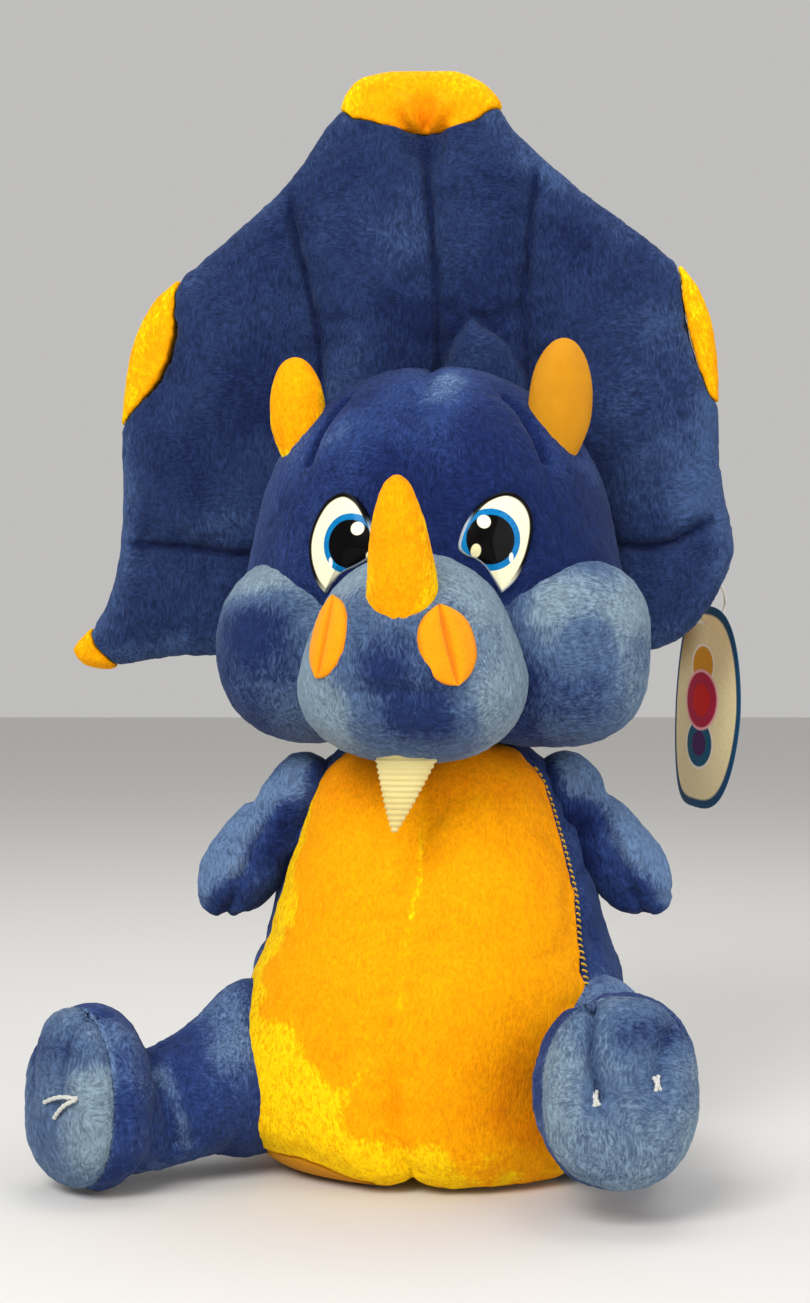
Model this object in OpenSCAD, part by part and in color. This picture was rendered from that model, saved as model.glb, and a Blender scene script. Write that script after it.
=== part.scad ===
// Sitting stuffed dinosaur: a pear-shaped body, a big head with a snout, three horns and
// a padded neck frill, two arms, two legs, a short tail and a hang tag.
// The toy faces -Y, its left side is +X and +Z is up.
// The origin is the middle of the flat seat, on the floor.

/* [Body] */
// Height of the body up to the neck
body_h = 169; // [166:1:170]
// Radius of the belly at its widest
belly_r = 74.5; // [73:0.5:76]
// Angle that the belly panel covers, across the front
belly_angle = 126; // [100:1:130]
// How far the belly panel is turned towards the toy's right
belly_turn = 10; // [0:1:12]

/* [Head] */
// Height of the middle of the head
head_z = 246; // [246:1:248]
// How far the face is turned towards the toy's right
head_turn = 8; // [6:1:10]
// Half width, half depth and half height of the crown
crown = [70, 62, 68];
// Radius of a cheek
cheek_r = 42; // [40:0.5:42.5]
// Half width, half depth and half height of the snout
snout = [41, 44, 38.5];
// Length of the nose horn, with the part inside the snout
nose_horn_h = 55; // [48:1:60]
// Length of a brow horn, with the part inside the crown
brow_horn_h = 48; // [42:1:52]
// Radius of each horn at its root
horn_r = 13; // [11:0.5:14]

/* [Frill] */
// Thickness of the padded frill
frill_t = 16; // [14:1:18]
// Distance of the frill's front face behind the middle of the head
frill_back = 26; // [26:1:28]

/* [Limbs] */
// Radius of an arm's round root
shoulder_r = 14; // [13:0.5:14.5]
// Half width, half thickness and half length of an arm
arm = [14.5, 13, 30];
// Angle between an arm and the vertical
arm_splay = 37; // [35:1:45]
// Radius of a leg's round root
hip_r = 32; // [30:0.5:32.5]
// Radius of a leg at its ankle
ankle_r = 19.5; // [19:0.5:22]
// Length of a leg from the middle of its root to its sole
leg_l = 95; // [88:1:98]
// Direction of the left leg, from straight ahead towards its own side
left_leg_turn = 4; // [2:1:10]
// Direction of the right leg, from straight ahead towards its own side
right_leg_turn = 75; // [60:1:78]
// How far the right foot turns back to the front at its ankle
right_foot_turn = 15; // [0:1:18]
// How far the left leg points up
left_leg_lift = 8; // [4:1:10]
// Radius of the tail's round root
tail_r = 25; // [23:0.5:25.5]
// Length of the tail from the middle of its root
tail_l = 70; // [50:1:80]

/* [Tag] */
// Width of the hang tag
tag_w = 58; // [50:1:60]
// Height of the hang tag
tag_h = 88; // [80:1:92]
// Thickness of the hang tag's card
tag_t = 0.9; // [0.6:0.1:1.2]

/* [Hidden] */

$fn = 64;

LEFT = 1;
RIGHT = -1;

skin = 2.4;    // cloth with its pile
seam = 0.2;    // gap between two pieces of one body
gap = 0.8;     // gap between bodies that move
play = 0.3;    // gap between the stuffing and the skin around it

blue = "royalblue";
pale_blue = "lightsteelblue";
gold = "orange";
fill = "ivory";

// Body outline as radius and height, from the middle of the seat to the neck
base_r = 56;
BODY_OUTLINE = [
    [0, 0], [base_r, 0], [belly_r - 7.5, 8], [belly_r - 1, 25], [belly_r, 50],
    [belly_r - 2.5, 75], [belly_r - 8.5, 95], [belly_r - 16, 112], [belly_r - 24.5, 130],
    [44, body_h - 21], [36, body_h - 9], [22, body_h - 2], [0, body_h],
];
base_panel_h = 6;
belly_top = body_h - 17;

hip = [58, -28, 36];
hip_reach = 60;          // how far a leg is cleared from the body around its root
leg_inner_turn = 2;      // the leg points ahead
leg_outer_turn = 80;     // the leg points to the side
shoulder = [52.3, -2, 147];
tail_root = [0, 60, 30];
tail_drop = 8;
tail_tip_r = 8;
tail_tube_r = 20;
neck_z = 170;
neck_r = 20;

label_size = [8, 1.2, 8];
label_at = [58.1, 23.5, 103];

cheek_at = [50, -22, -40];
snout_at = [0, -62, -47];
mouth_z = -59;
nose_horn_at = [0, -90, -32];
nose_horn_lean = 25;
brow_horn_at = [50, -22, 28];
brow_horn_lean = 4;
tooth_at = [0, -80, -85.2];
tooth_size = [23, 6, 24];

eye_at = [29, -56.8, 1];
eye_turn = 22;
eye_r = 13.8;
eye_t = 4.2;
eye_dome_r = 40;
stem_r = 2.6;
stem_l = 14;
washer_r = 9;
washer_t = 1.6;
washer_depth = 3.6;

nostril_at = [22, -62, -38];
nostril_turn = 27;
nostril_arc_r = 18;
nostril_w = 14;

// Half of the frill's outline, from the middle of its top down one side.
// Its origin is level with the middle of the head.
FRILL_HALF = [
    [0, 197], [18, 198], [30, 192], [36, 182], [41, 170], [60, 151], [83, 132], [107, 112],
    [115, 94], [121, 72], [125, 48], [125, 26], [127, 4],
];
// The right tip lies flat and the left tip is folded back
FRILL_RIGHT_TIP = [[-75, -46], [-110, -48], [-138, -49], [-146, -44], [-134, -27], [-129, -6]];
FRILL_LEFT_FOLD = [[127, -4], [95, -42], [75, -46]];
FRILL_FLAP = [[127, -4], [95, -42], [86, -12], [84, 7], [88, 9]];
FRILL_OUTLINE = concat(
    FRILL_HALF, FRILL_LEFT_FOLD, FRILL_RIGHT_TIP,
    [for (i = [len(FRILL_HALF) - 1 : -1 : 1]) [-FRILL_HALF[i][0], FRILL_HALF[i][1]]]);
frill_x = -9;
frill_hole_r = 66;
frill_rim = 3;
flap_t = 11;
top_patch_z = 176;
side_patch_at = [158, 82];
side_patch_r = 57;
tip_patch_r = 17;

// Foot outline as radius and distance along the leg
FOOT_OUTLINE = [
    [0, leg_l - 49], [17, leg_l - 45], [26, leg_l - 35], [30, leg_l - 23],
    [30, leg_l - 9], [27, leg_l - 3], [22, leg_l], [0, leg_l],
];
foot_r = 30;
foot_half_w = 27;
foot_half_h = 33;
leg_tube_r = 21.5;
shank_l = 62;            // from the hip to the inside of the foot
ankle_at = 48;           // where the foot bends
toe_x = 11;
thread_r = 0.7;
thread_l = 21;

tag_at = [118, 70, 178];
tag_turn = -62;
eyelet_drop = 8;
eyelet_r = 2.2;
loop_r = 10;
loop_wire_r = 0.7;
loop_knob_r = 1.5;
loop_knob_at = [115.2, 28.6, 253];

// Moves each point of an open outline, listed from bottom to top, inwards by t
function inset(outline, t) = [
    for (i = [0 : len(outline) - 1])
        let (
            before = outline[max(i - 1, 0)],
            after = outline[min(i + 1, len(outline) - 1)],
            along = (after - before) / norm(after - before))
        [max(0, outline[i][0] - t * along[1]), outline[i][1] + t * along[0]],
];

// Moves each point of a closed outline, listed clockwise, inwards by t
function shrink(outline, t) = [
    for (i = [0 : len(outline) - 1])
        let (
            n = len(outline),
            before = outline[(i + n - 1) % n],
            after = outline[(i + 1) % n],
            along = (after - before) / norm(after - before))
        outline[i] + t * [along[1], -along[0]],
];

function horn_outline(r, h) = [
    [0, 0], [r, 0], [0.97 * r, 0.28 * h], [0.86 * r, 0.55 * h],
    [0.67 * r, 0.8 * h], [0.4 * r, 0.94 * h], [0, h],
];

module turned(outline, t) {
    rotate_extrude()
        polygon(inset(outline, t));
}

module egg(half) {
    scale(half)
        sphere(r = 1);
}

// A ring segment about the Z axis, centred on the direction that middle gives from straight ahead
module sector(middle, width, inner_r, bottom, top) {
    rotate([0, 0, middle - 90 - width / 2])
        rotate_extrude(angle = width)
            translate([inner_r, bottom])
                square([2 * belly_r, top - bottom]);
}

// Body

module shoulder_place(side) {
    translate([side * shoulder[0], shoulder[1], shoulder[2]])
        children();
}

module hip_place(side) {
    translate([side * hip[0], hip[1], hip[2]])
        children();
}

module tail_place() {
    translate(tail_root)
        rotate([-90 - tail_drop, 0, 0])
            children();
}

// The space that a leg sweeps beside the belly
module hip_socket(side, grow) {
    clear_r = leg_tube_r + gap + grow;
    lift = side == LEFT ? left_leg_lift : 0;
    hip_place(side) {
        sphere(r = hip_r + gap + grow);
        mirror([side == RIGHT ? 1 : 0, 0, 0])
            rotate([0, 0, leg_inner_turn - 90]) {
                rotate_extrude(angle = leg_outer_turn - leg_inner_turn)
                    translate([0, -clear_r])
                        square([hip_reach, 2 * clear_r + lift / 2]);
                rotate([0, 90 - lift, 0])
                    cylinder(r = clear_r, h = hip_reach);
            }
    }
}

module body_openings(grow) {
    hip_socket(LEFT, grow);
    hip_socket(RIGHT, grow);
    shoulder_place(LEFT)
        sphere(r = shoulder_r + 2 * gap + grow);
    shoulder_place(RIGHT)
        sphere(r = shoulder_r + 2 * gap + grow);
    translate(tail_root)
        sphere(r = tail_r + gap + grow);
    translate([0, 0, neck_z])
        sphere(r = neck_r + gap + grow);
}

module body_form(t) {
    difference() {
        turned(BODY_OUTLINE, t);
        body_openings(t);
    }
}

module body_shell() {
    difference() {
        body_form(0);
        body_form(skin);
    }
}

module belly_region(grow) {
    sector(-belly_turn, belly_angle + grow, neck_r + 8, base_panel_h, belly_top + grow);
}

module body_skin() {
    color(blue)
        difference() {
            body_shell();
            belly_region(seam);
            translate([0, 0, -1])
                cylinder(r = 2 * belly_r, h = base_panel_h + seam + 1);
        }
}

module belly_panel() {
    color(gold)
        intersection() {
            body_shell();
            translate([0, 0, seam])
                belly_region(-seam);
        }
}

module base_panel() {
    color("goldenrod")
        intersection() {
            body_shell();
            cylinder(r = 2 * belly_r, h = base_panel_h);
        }
}

module pellet_bag_form(grow) {
    translate([0, 2, 24])
        egg([27 + grow, 26 + grow, 16 + grow]);
}

module body_stuffing() {
    color(fill)
        difference() {
            body_form(skin + play);
            pellet_bag_form(play);
        }
}

module pellet_bag() {
    color("beige")
        pellet_bag_form(0);
}

module seam_label() {
    color("firebrick")
        translate(label_at)
            cube(label_size);
}

// Tail

module tail_form(t) {
    translate(tail_root)
        sphere(r = tail_r - t);
    tail_place() {
        cylinder(r1 = tail_tube_r - t, r2 = tail_tip_r - t, h = tail_l);
        translate([0, 0, tail_l])
            sphere(r = tail_tip_r - t);
    }
}

module tail_skin() {
    color(blue)
        difference() {
            tail_form(0);
            tail_form(skin);
        }
}

module tail_stuffing() {
    color(fill)
        tail_form(skin + play);
}

// Neck

module neck_skin() {
    color(blue)
        translate([0, 0, neck_z])
            difference() {
                sphere(r = neck_r);
                sphere(r = neck_r - skin);
            }
}

module neck_stuffing() {
    color(fill)
        translate([0, 0, neck_z])
            sphere(r = neck_r - skin - play);
}

// Head, in its own frame with the origin at the middle of the crown

module head_place() {
    translate([0, 0, head_z])
        rotate([0, 0, -head_turn])
            children();
}

module crown_form(t) {
    egg([for (half = crown) half - t]);
}

module cheek_form(side, t) {
    translate([side * cheek_at[0], cheek_at[1], cheek_at[2]])
        sphere(r = cheek_r - t);
}

module snout_form(t) {
    translate(snout_at)
        egg([for (half = snout) half - t]);
}

module neck_opening(grow) {
    translate([0, 0, neck_z - head_z])
        sphere(r = neck_r + gap + grow);
}

module head_skin() {
    color(blue)
        head_place()
            difference() {
                crown_form(0);
                crown_form(skin);
                cheek_form(LEFT, -seam);
                cheek_form(RIGHT, -seam);
                snout_form(-seam);
                neck_opening(0);
                eye_stem(LEFT, seam);
                eye_stem(RIGHT, seam);
            }
}

module cheek_skin(side) {
    color(pale_blue)
        head_place()
            difference() {
                cheek_form(side, 0);
                cheek_form(side, skin);
                crown_form(-seam);
                snout_form(-seam);
            }
}

module snout_shell() {
    difference() {
        snout_form(0);
        snout_form(skin);
        crown_form(-seam);
        cheek_form(LEFT, -seam);
        cheek_form(RIGHT, -seam);
    }
}

module below_mouth(z) {
    translate([-100, -200, z - 100])
        cube([200, 200, 100]);
}

module snout_skin() {
    color(pale_blue)
        head_place()
            difference() {
                snout_shell();
                below_mouth(mouth_z + seam);
            }
}

module chin_panel() {
    color(pale_blue)
        head_place()
            intersection() {
                snout_shell();
                below_mouth(mouth_z);
            }
}

module head_stuffing() {
    color(fill)
        head_place()
            difference() {
                union() {
                    crown_form(skin + play);
                    cheek_form(LEFT, skin + play);
                    cheek_form(RIGHT, skin + play);
                    snout_form(skin + play);
                }
                neck_opening(skin);
                for (side = [LEFT, RIGHT]) {
                    eye_stem(side, play);
                    washer_pocket(side);
                }
            }
}

// Eyes: a domed lens with a moulded stem, held by a lock washer inside the head

module eye_place(side) {
    translate([side * eye_at[0], eye_at[1], eye_at[2]])
        rotate([90, 0, side * eye_turn])
            children();
}

module eye_stem(side, grow) {
    eye_place(side)
        translate([0, 0, -stem_l])
            cylinder(r = stem_r + grow, h = stem_l + 1);
}

module washer_disc(side) {
    eye_place(side)
        translate([0, 0, -washer_depth - washer_t])
            cylinder(r = washer_r, h = washer_t);
}

// The hollow that the washer presses into the stuffing
module washer_pocket(side) {
    eye_place(side)
        translate([0, 0, -washer_depth - washer_t - play])
            cylinder(r = washer_r + play, h = washer_depth + washer_t + play);
}

module eye(side) {
    lens_outline = concat(
        [for (a = [-32 : 8 : 212]) [eye_r * cos(a), 2.5 + 1.08 * eye_r * sin(a)]],
        [[-3, -15.2], [0, -16.4], [3, -15.2]]);
    color("ghostwhite")
        head_place() {
            eye_place(side)
                intersection() {
                    linear_extrude(eye_t)
                        polygon(lens_outline);
                    translate([0, 0, eye_t - eye_dome_r])
                        sphere(r = eye_dome_r);
                }
            eye_stem(side, 0);
        }
}

module eye_washer(side) {
    color("dimgray")
        head_place()
            difference() {
                washer_disc(side);
                eye_stem(side, seam);
            }
}

// Nostrils: leaf-shaped cloth patches on the snout

module nostril(side) {
    arc_offset = nostril_arc_r - nostril_w / 2;
    color("darkorange")
        head_place()
            intersection() {
                difference() {
                    snout_form(-1.5);
                    snout_form(-0.3);
                }
                translate([side * nostril_at[0], nostril_at[1], nostril_at[2]])
                    rotate([90, 0, side * nostril_turn])
                        linear_extrude(60)
                            intersection() {
                                translate([arc_offset, 0])
                                    circle(r = nostril_arc_r);
                                translate([-arc_offset, 0])
                                    circle(r = nostril_arc_r);
                            }
            }
}

// Horns

module nose_horn_place() {
    translate(nose_horn_at)
        rotate([nose_horn_lean, 0, 0])
            children();
}

module nose_horn_skin() {
    color(gold)
        head_place()
            difference() {
                nose_horn_place()
                    difference() {
                        turned(horn_outline(horn_r, nose_horn_h), 0);
                        turned(horn_outline(horn_r, nose_horn_h), skin);
                    }
                snout_form(-seam);
            }
}

module nose_horn_stuffing() {
    color(fill)
        head_place()
            difference() {
                nose_horn_place()
                    turned(horn_outline(horn_r, nose_horn_h), skin + play);
                snout_form(-seam);
            }
}

module brow_horn_place(side) {
    translate([side * brow_horn_at[0], brow_horn_at[1], brow_horn_at[2]])
        rotate([0, side * brow_horn_lean, 0])
            children();
}

module brow_horn_skin(side) {
    color(gold)
        head_place()
            difference() {
                brow_horn_place(side)
                    difference() {
                        turned(horn_outline(horn_r, brow_horn_h), 0);
                        turned(horn_outline(horn_r, brow_horn_h), skin);
                    }
                crown_form(-seam);
            }
}

module brow_horn_stuffing(side) {
    color(fill)
        head_place()
            difference() {
                brow_horn_place(side)
                    turned(horn_outline(horn_r, brow_horn_h), skin + play);
                crown_form(-seam);
            }
}

// A padded cloth tooth that hangs under the front of the snout
module tooth() {
    half_w = tooth_size[0] / 2;
    h = tooth_size[2];
    color("cornsilk")
        head_place()
            translate(tooth_at)
                rotate([90, 0, 0])
                    linear_extrude(tooth_size[1], center = true)
                        polygon([
                            [-half_w, 0], [-0.78 * half_w, -0.38 * h], [-0.36 * half_w, -0.84 * h],
                            [0, -h],
                            [0.36 * half_w, -0.84 * h], [0.78 * half_w, -0.38 * h], [half_w, 0],
                        ]);
}

// Frill: an arch of padded cloth behind the head

module frill_place() {
    head_place()
        translate([frill_x, frill_back + frill_t, 0])
            rotate([90, 0, 0])
                children();
}

// A layer of the frill between two depths, counted forwards from its back face
module frill_layer(t, from, to) {
    translate([0, 0, from])
        linear_extrude(to - from)
            difference() {
                polygon(shrink(FRILL_OUTLINE, t));
                translate([-frill_x, 0])
                    circle(r = frill_hole_r + t);
                translate([-frill_x - frill_hole_r - t, -100])
                    square([2 * (frill_hole_r + t), 100]);
            }
}

module frill_shell() {
    difference() {
        frill_layer(0, 0, frill_t);
        frill_layer(frill_rim, frill_rim - play, frill_t - frill_rim + play);
    }
}

module top_patch_region(grow) {
    translate([-60, top_patch_z - grow, -1])
        cube([120, 60, frill_t + 2]);
}

module side_patch_region(side, grow) {
    translate([side * side_patch_at[0], side_patch_at[1], -1])
        cylinder(r = side_patch_r + grow, h = frill_t + 2);
}

module right_tip_region(grow) {
    translate([-148, -46, -1])
        cylinder(r = tip_patch_r + grow, h = frill_t + 2);
}

module patch_regions(grow) {
    top_patch_region(grow);
    side_patch_region(LEFT, grow);
    side_patch_region(RIGHT, grow);
    right_tip_region(grow);
}

module frill_front() {
    color(blue)
        frill_place()
            difference() {
                frill_shell();
                patch_regions(seam);
                translate([-200, -100, -1])
                    cube([400, 400, frill_t / 2 + 1 + seam / 2]);
            }
}

module frill_back_panel() {
    color(blue)
        frill_place()
            difference() {
                frill_shell();
                patch_regions(seam);
                translate([-200, -100, frill_t / 2 - seam / 2])
                    cube([400, 400, frill_t]);
            }
}

module frill_batting() {
    color(fill)
        frill_place()
            frill_layer(frill_rim + play, frill_rim, frill_t - frill_rim);
}

module frill_top_patch() {
    color(gold)
        frill_place()
            intersection() {
                frill_shell();
                top_patch_region(0);
            }
}

module frill_side_patch(side) {
    color(gold)
        frill_place()
            intersection() {
                frill_shell();
                side_patch_region(side, 0);
            }
}

// The left tip is folded flat against the back of the frill
module frill_tip_left() {
    color(gold)
        frill_place()
            translate([0, 0, -flap_t - seam])
                linear_extrude(flap_t)
                    polygon(FRILL_FLAP);
}

module frill_tip_right() {
    color(gold)
        frill_place()
            intersection() {
                frill_shell();
                right_tip_region(0);
            }
}

// Arms: flat paddles that hang from round roots

module arm_form(side, t) {
    shoulder_place(side) {
        sphere(r = shoulder_r - t);
        rotate([0, 180 - side * arm_splay, 0])
            translate([0, 0, arm[2] + 1])
                egg([for (half = arm) half - t]);
    }
}

module arm_skin(side) {
    color(blue)
        difference() {
            arm_form(side, 0);
            arm_form(side, skin);
        }
}

module arm_stuffing(side) {
    color(fill)
        arm_form(side, skin + play);
}

// Legs: tubes with a round root and a wide foot, in a frame with Z along the leg and
// X down

module leg_place(side) {
    leg_turn = side == LEFT ? left_leg_turn : right_leg_turn;
    lift = side == LEFT ? left_leg_lift : 0;
    hip_place(side)
        rotate([0, 0, side * leg_turn - 90])
            rotate([0, 90 - lift, 0])
                children();
}

// The foot's frame: the leg's frame, bent at the ankle
module foot_place(side) {
    bend = side == RIGHT ? right_foot_turn : 0;
    translate([0, 0, ankle_at])
        rotate([-bend, 0, 0])
            translate([0, 0, -ankle_at])
                children();
}

module leg_form(side, t) {
    sphere(r = hip_r - t);
    cylinder(r1 = leg_tube_r - t, r2 = ankle_r - t, h = shank_l);
    foot_place(side)
        scale([foot_half_h / foot_r, foot_half_w / foot_r, 1])
            turned(FOOT_OUTLINE, t);
}

module leg_shell(side) {
    difference() {
        leg_form(side, 0);
        leg_form(side, skin);
    }
}

module beyond(distance) {
    translate([-100, -100, distance])
        cube([200, 200, 100]);
}

module leg_skin(side) {
    color(blue)
        leg_place(side)
            difference() {
                leg_shell(side);
                foot_place(side)
                    beyond(leg_l - skin - seam);
            }
}

module leg_sole(side) {
    color("steelblue")
        leg_place(side)
            intersection() {
                leg_form(side, 0, $fn = 128);
                foot_place(side)
                    beyond(leg_l - skin);
            }
}

module leg_stuffing(side) {
    color(fill)
        leg_place(side)
            leg_form(side, skin + play);
}

module leg_toe_stitches(side) {
    color("white")
        leg_place(side)
            foot_place(side)
                for (x = [-toe_x, toe_x])
                    translate([-thread_l, x, leg_l + thread_r + seam])
                        rotate([0, 90, 0])
                            cylinder(r = thread_r, h = thread_l);
}

// Hang tag

module tag_place() {
    translate(tag_at)
        rotate([90, 0, tag_turn])
            children();
}

module tag_card() {
    arc_r = (pow(tag_h / 2, 2) + pow(tag_w / 2, 2)) / tag_w;
    arc_offset = arc_r - tag_w / 2;
    color("wheat")
        tag_place()
            linear_extrude(tag_t, center = true)
                difference() {
                    intersection() {
                        translate([arc_offset, 0])
                            circle(r = arc_r);
                        translate([-arc_offset, 0])
                            circle(r = arc_r);
                    }
                    translate([0, tag_h / 2 - eyelet_drop])
                        circle(r = eyelet_r);
                }
}

module tag_fastener() {
    loop_top = tag_at + [0, 0, tag_h / 2 - eyelet_drop + 2 * loop_r];
    stem = loop_top - loop_knob_at;
    color("gainsboro") {
        translate(loop_top - [0, 0, loop_r])
            rotate([90, 0, tag_turn + 90])
                rotate_extrude()
                    translate([loop_r, 0])
                        circle(r = loop_wire_r);
        translate(loop_knob_at) {
            sphere(r = loop_knob_r);
            rotate([0, acos(stem[2] / norm(stem)), atan2(stem[1], stem[0])])
                cylinder(r = loop_wire_r, h = norm(stem));
        }
    }
}

body_skin();
belly_panel();
base_panel();
body_stuffing();
pellet_bag();
seam_label();
tail_skin();
tail_stuffing();
neck_skin();
neck_stuffing();
head_skin();
head_stuffing();
cheek_skin(LEFT);  // cheek_left
cheek_skin(RIGHT);  // cheek_right
snout_skin();
chin_panel();
eye(LEFT);  // eye_left
eye(RIGHT);  // eye_right
eye_washer(LEFT);  // eye_washer_left
eye_washer(RIGHT);  // eye_washer_right
nostril(LEFT);  // nostril_left
nostril(RIGHT);  // nostril_right
nose_horn_skin();
nose_horn_stuffing();
brow_horn_skin(LEFT);  // brow_horn_left_skin
brow_horn_stuffing(LEFT);  // brow_horn_left_stuffing
brow_horn_skin(RIGHT);  // brow_horn_right_skin
brow_horn_stuffing(RIGHT);  // brow_horn_right_stuffing
tooth();
frill_front();
frill_back_panel();
frill_batting();
frill_top_patch();
frill_side_patch(LEFT);  // frill_side_patch_left
frill_side_patch(RIGHT);  // frill_side_patch_right
frill_tip_left();
frill_tip_right();
arm_skin(LEFT);  // arm_left_skin
arm_stuffing(LEFT);  // arm_left_stuffing
arm_skin(RIGHT);  // arm_right_skin
arm_stuffing(RIGHT);  // arm_right_stuffing
leg_skin(LEFT);  // leg_left_skin
leg_stuffing(LEFT);  // leg_left_stuffing
leg_sole(LEFT);  // leg_left_sole
leg_toe_stitches(LEFT);  // leg_left_toe_stitches
leg_skin(RIGHT);  // leg_right_skin
leg_stuffing(RIGHT);  // leg_right_stuffing
leg_sole(RIGHT);  // leg_right_sole
leg_toe_stitches(RIGHT);  // leg_right_toe_stitches
tag_card();
tag_fastener();
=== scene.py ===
import math

import bpy
import numpy as np
from mathutils import Matrix, Vector
from mathutils.kdtree import KDTree


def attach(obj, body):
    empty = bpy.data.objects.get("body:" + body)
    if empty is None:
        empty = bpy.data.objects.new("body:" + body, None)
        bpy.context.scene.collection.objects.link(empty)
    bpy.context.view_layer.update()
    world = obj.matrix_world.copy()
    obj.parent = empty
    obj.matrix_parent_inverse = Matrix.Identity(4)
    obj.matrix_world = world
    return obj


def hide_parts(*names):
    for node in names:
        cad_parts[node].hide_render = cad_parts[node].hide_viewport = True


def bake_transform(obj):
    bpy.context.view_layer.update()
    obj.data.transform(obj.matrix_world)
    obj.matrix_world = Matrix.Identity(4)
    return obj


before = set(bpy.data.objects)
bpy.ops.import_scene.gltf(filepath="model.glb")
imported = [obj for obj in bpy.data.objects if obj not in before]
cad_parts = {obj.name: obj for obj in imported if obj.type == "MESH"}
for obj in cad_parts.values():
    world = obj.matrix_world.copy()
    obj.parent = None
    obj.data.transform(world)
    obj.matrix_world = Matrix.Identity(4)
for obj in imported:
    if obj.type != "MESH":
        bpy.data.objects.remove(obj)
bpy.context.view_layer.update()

# Lengths below are in millimetres, apart from the camera, the lights and the floor, which are in
# metres. Each piece is made in the frame of the part it belongs to and then moved to its place.
MM = 0.001
LEFT = 1
RIGHT = -1
SIDES = ((LEFT, "left"), (RIGHT, "right"))


def move(x, y, z):
    return Matrix.Translation((x, y, z))


def turn(angle, axis):
    return Matrix.Rotation(math.radians(angle), 4, axis)


WORLD = Matrix.Identity(4)
HEAD = move(0, 0, 246) @ turn(-8, "Z")
FRILL = HEAD @ move(-9, 42, 0) @ turn(90, "X")
NOSE_HORN = HEAD @ move(0, -90, -32) @ turn(25, "X")
TOOTH = HEAD @ move(0, -80, -84)
TAIL = move(0, 60, 30) @ turn(-98, "X")
TAG = move(118, 70, 178) @ turn(-62, "Z") @ turn(90, "X")


def brow_horn_place(side):
    return HEAD @ move(side * 50, -22, 28) @ turn(side * 4, "Y")


def eye_place(side):
    return HEAD @ move(side * 29.3, -59.6, 1) @ turn(side * 22, "Z") @ turn(90, "X")


def arm_place(side):
    return move(side * 52.3, -2, 147) @ turn(180 - side * 37, "Y")


def leg_place(side):
    if side == LEFT:
        return move(58, -28, 36) @ turn(-86, "Z") @ turn(82, "Y")
    return move(-58, -28, 36) @ turn(-165, "Z") @ turn(90, "Y")


def ankle_bend(side):
    """The right foot turns back to the front at its ankle"""
    if side == LEFT:
        return WORLD
    return move(0, 0, 51) @ turn(-22, "X") @ move(0, 0, -48)


def foot_place(side):
    return leg_place(side) @ ankle_bend(side)


# Where the frame of each body stands. A leg's pieces are given their places one by one.
PLACES = {"body": WORLD, "neck": WORLD, "tail": TAIL, "head": HEAD, "tooth": TOOTH,
          "frill": FRILL, "tag": TAG, "arm_left": arm_place(LEFT), "arm_right": arm_place(RIGHT)}


def moved(points, place):
    return points @ np.array(place.to_3x3()).T + np.array(place.translation)


# ------------------------ numbers and noise

def hump(value, middle, width):
    return np.exp(-((value - middle) / width) ** 2)


def ramp(value, start, end):
    t = np.clip((value - start) / (end - start), 0, 1)
    return t * t * (3 - 2 * t)


def lattice(cell, seed):
    n = cell[:, 0] * 73856093 ^ cell[:, 1] * 19349663 ^ cell[:, 2] * 83492791 ^ seed * 6542989
    n = (n ^ (n >> 13)) * 1274126177 & 0xFFFFFFFF
    n = (n ^ (n >> 15)) * 668265263 & 0xFFFFFFFF
    return ((n ^ (n >> 13)) & 0xFFFF) / 32767.5 - 1


def noise(points, size, seed=0):
    """Smooth noise from -1 to 1 with bumps about as wide as size"""
    q = points / size + 1000.0
    cell = np.floor(q).astype(np.int64)
    t = q - cell
    t = t * t * (3 - 2 * t)
    total = np.zeros(len(points))
    for corner in np.ndindex(2, 2, 2):
        weight = np.prod(np.where(corner, t, 1 - t), axis=1)
        total += weight * lattice(cell + np.array(corner), seed)
    return total


def smooth_line(points, closed=False, steps=8):
    """Points along a smooth curve through the given ones"""
    points = np.array(points, float)
    count = len(points)
    spans = count if closed else count - 1
    result = []
    for i in range(spans):
        if closed:
            a, b, c, d = (points[(i + k) % count] for k in (-1, 0, 1, 2))
        else:
            a, b, c, d = (points[min(max(i + k, 0), count - 1)] for k in (-1, 0, 1, 2))
        for t in np.arange(steps) / steps:
            result.append(0.5 * (2 * b + (c - a) * t + (2 * a - 5 * b + 4 * c - d) * t ** 2
                                 + (3 * b - a - 3 * c + d) * t ** 3))
    if not closed:
        result.append(points[-1])
    return np.array(result)


def line_distance(points, line):
    """Distance from each point to an open line of points"""
    nearest = np.full(len(points), np.inf)
    for a, b in zip(line[:-1], line[1:]):
        along = b - a
        t = np.clip((points - a) @ along / max(along @ along, 1e-9), 0, 1)
        gap = points - (a + t[:, None] * along)
        nearest = np.minimum(nearest, (gap * gap).sum(1))
    return np.sqrt(nearest)


def inside_outline(points, outline):
    inside = np.zeros(len(points), bool)
    for a, b in zip(outline, np.roll(outline, -1, axis=0)):
        spans = (a[1] > points[:, 1]) != (b[1] > points[:, 1])
        rise = b[1] - a[1] if abs(b[1] - a[1]) > 1e-9 else 1e-9
        inside ^= spans & (points[:, 0] < a[0] + (points[:, 1] - a[1]) * (b[0] - a[0]) / rise)
    return inside


def outline_distance(points, outline):
    """Distance to a closed flat outline, negative inside it"""
    distance = line_distance(points, np.vstack([outline, outline[:1]]))
    return np.where(inside_outline(points, outline), -distance, distance)


# ------------------------ forms
# A form is a function of points that is negative inside the form.

def join(a, b, width):
    """Union of two forms with a soft valley between them"""
    h = np.clip(0.5 + 0.5 * (b - a) / width, 0, 1)
    return b + (a - b) * h - width * h * (1 - h)


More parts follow.
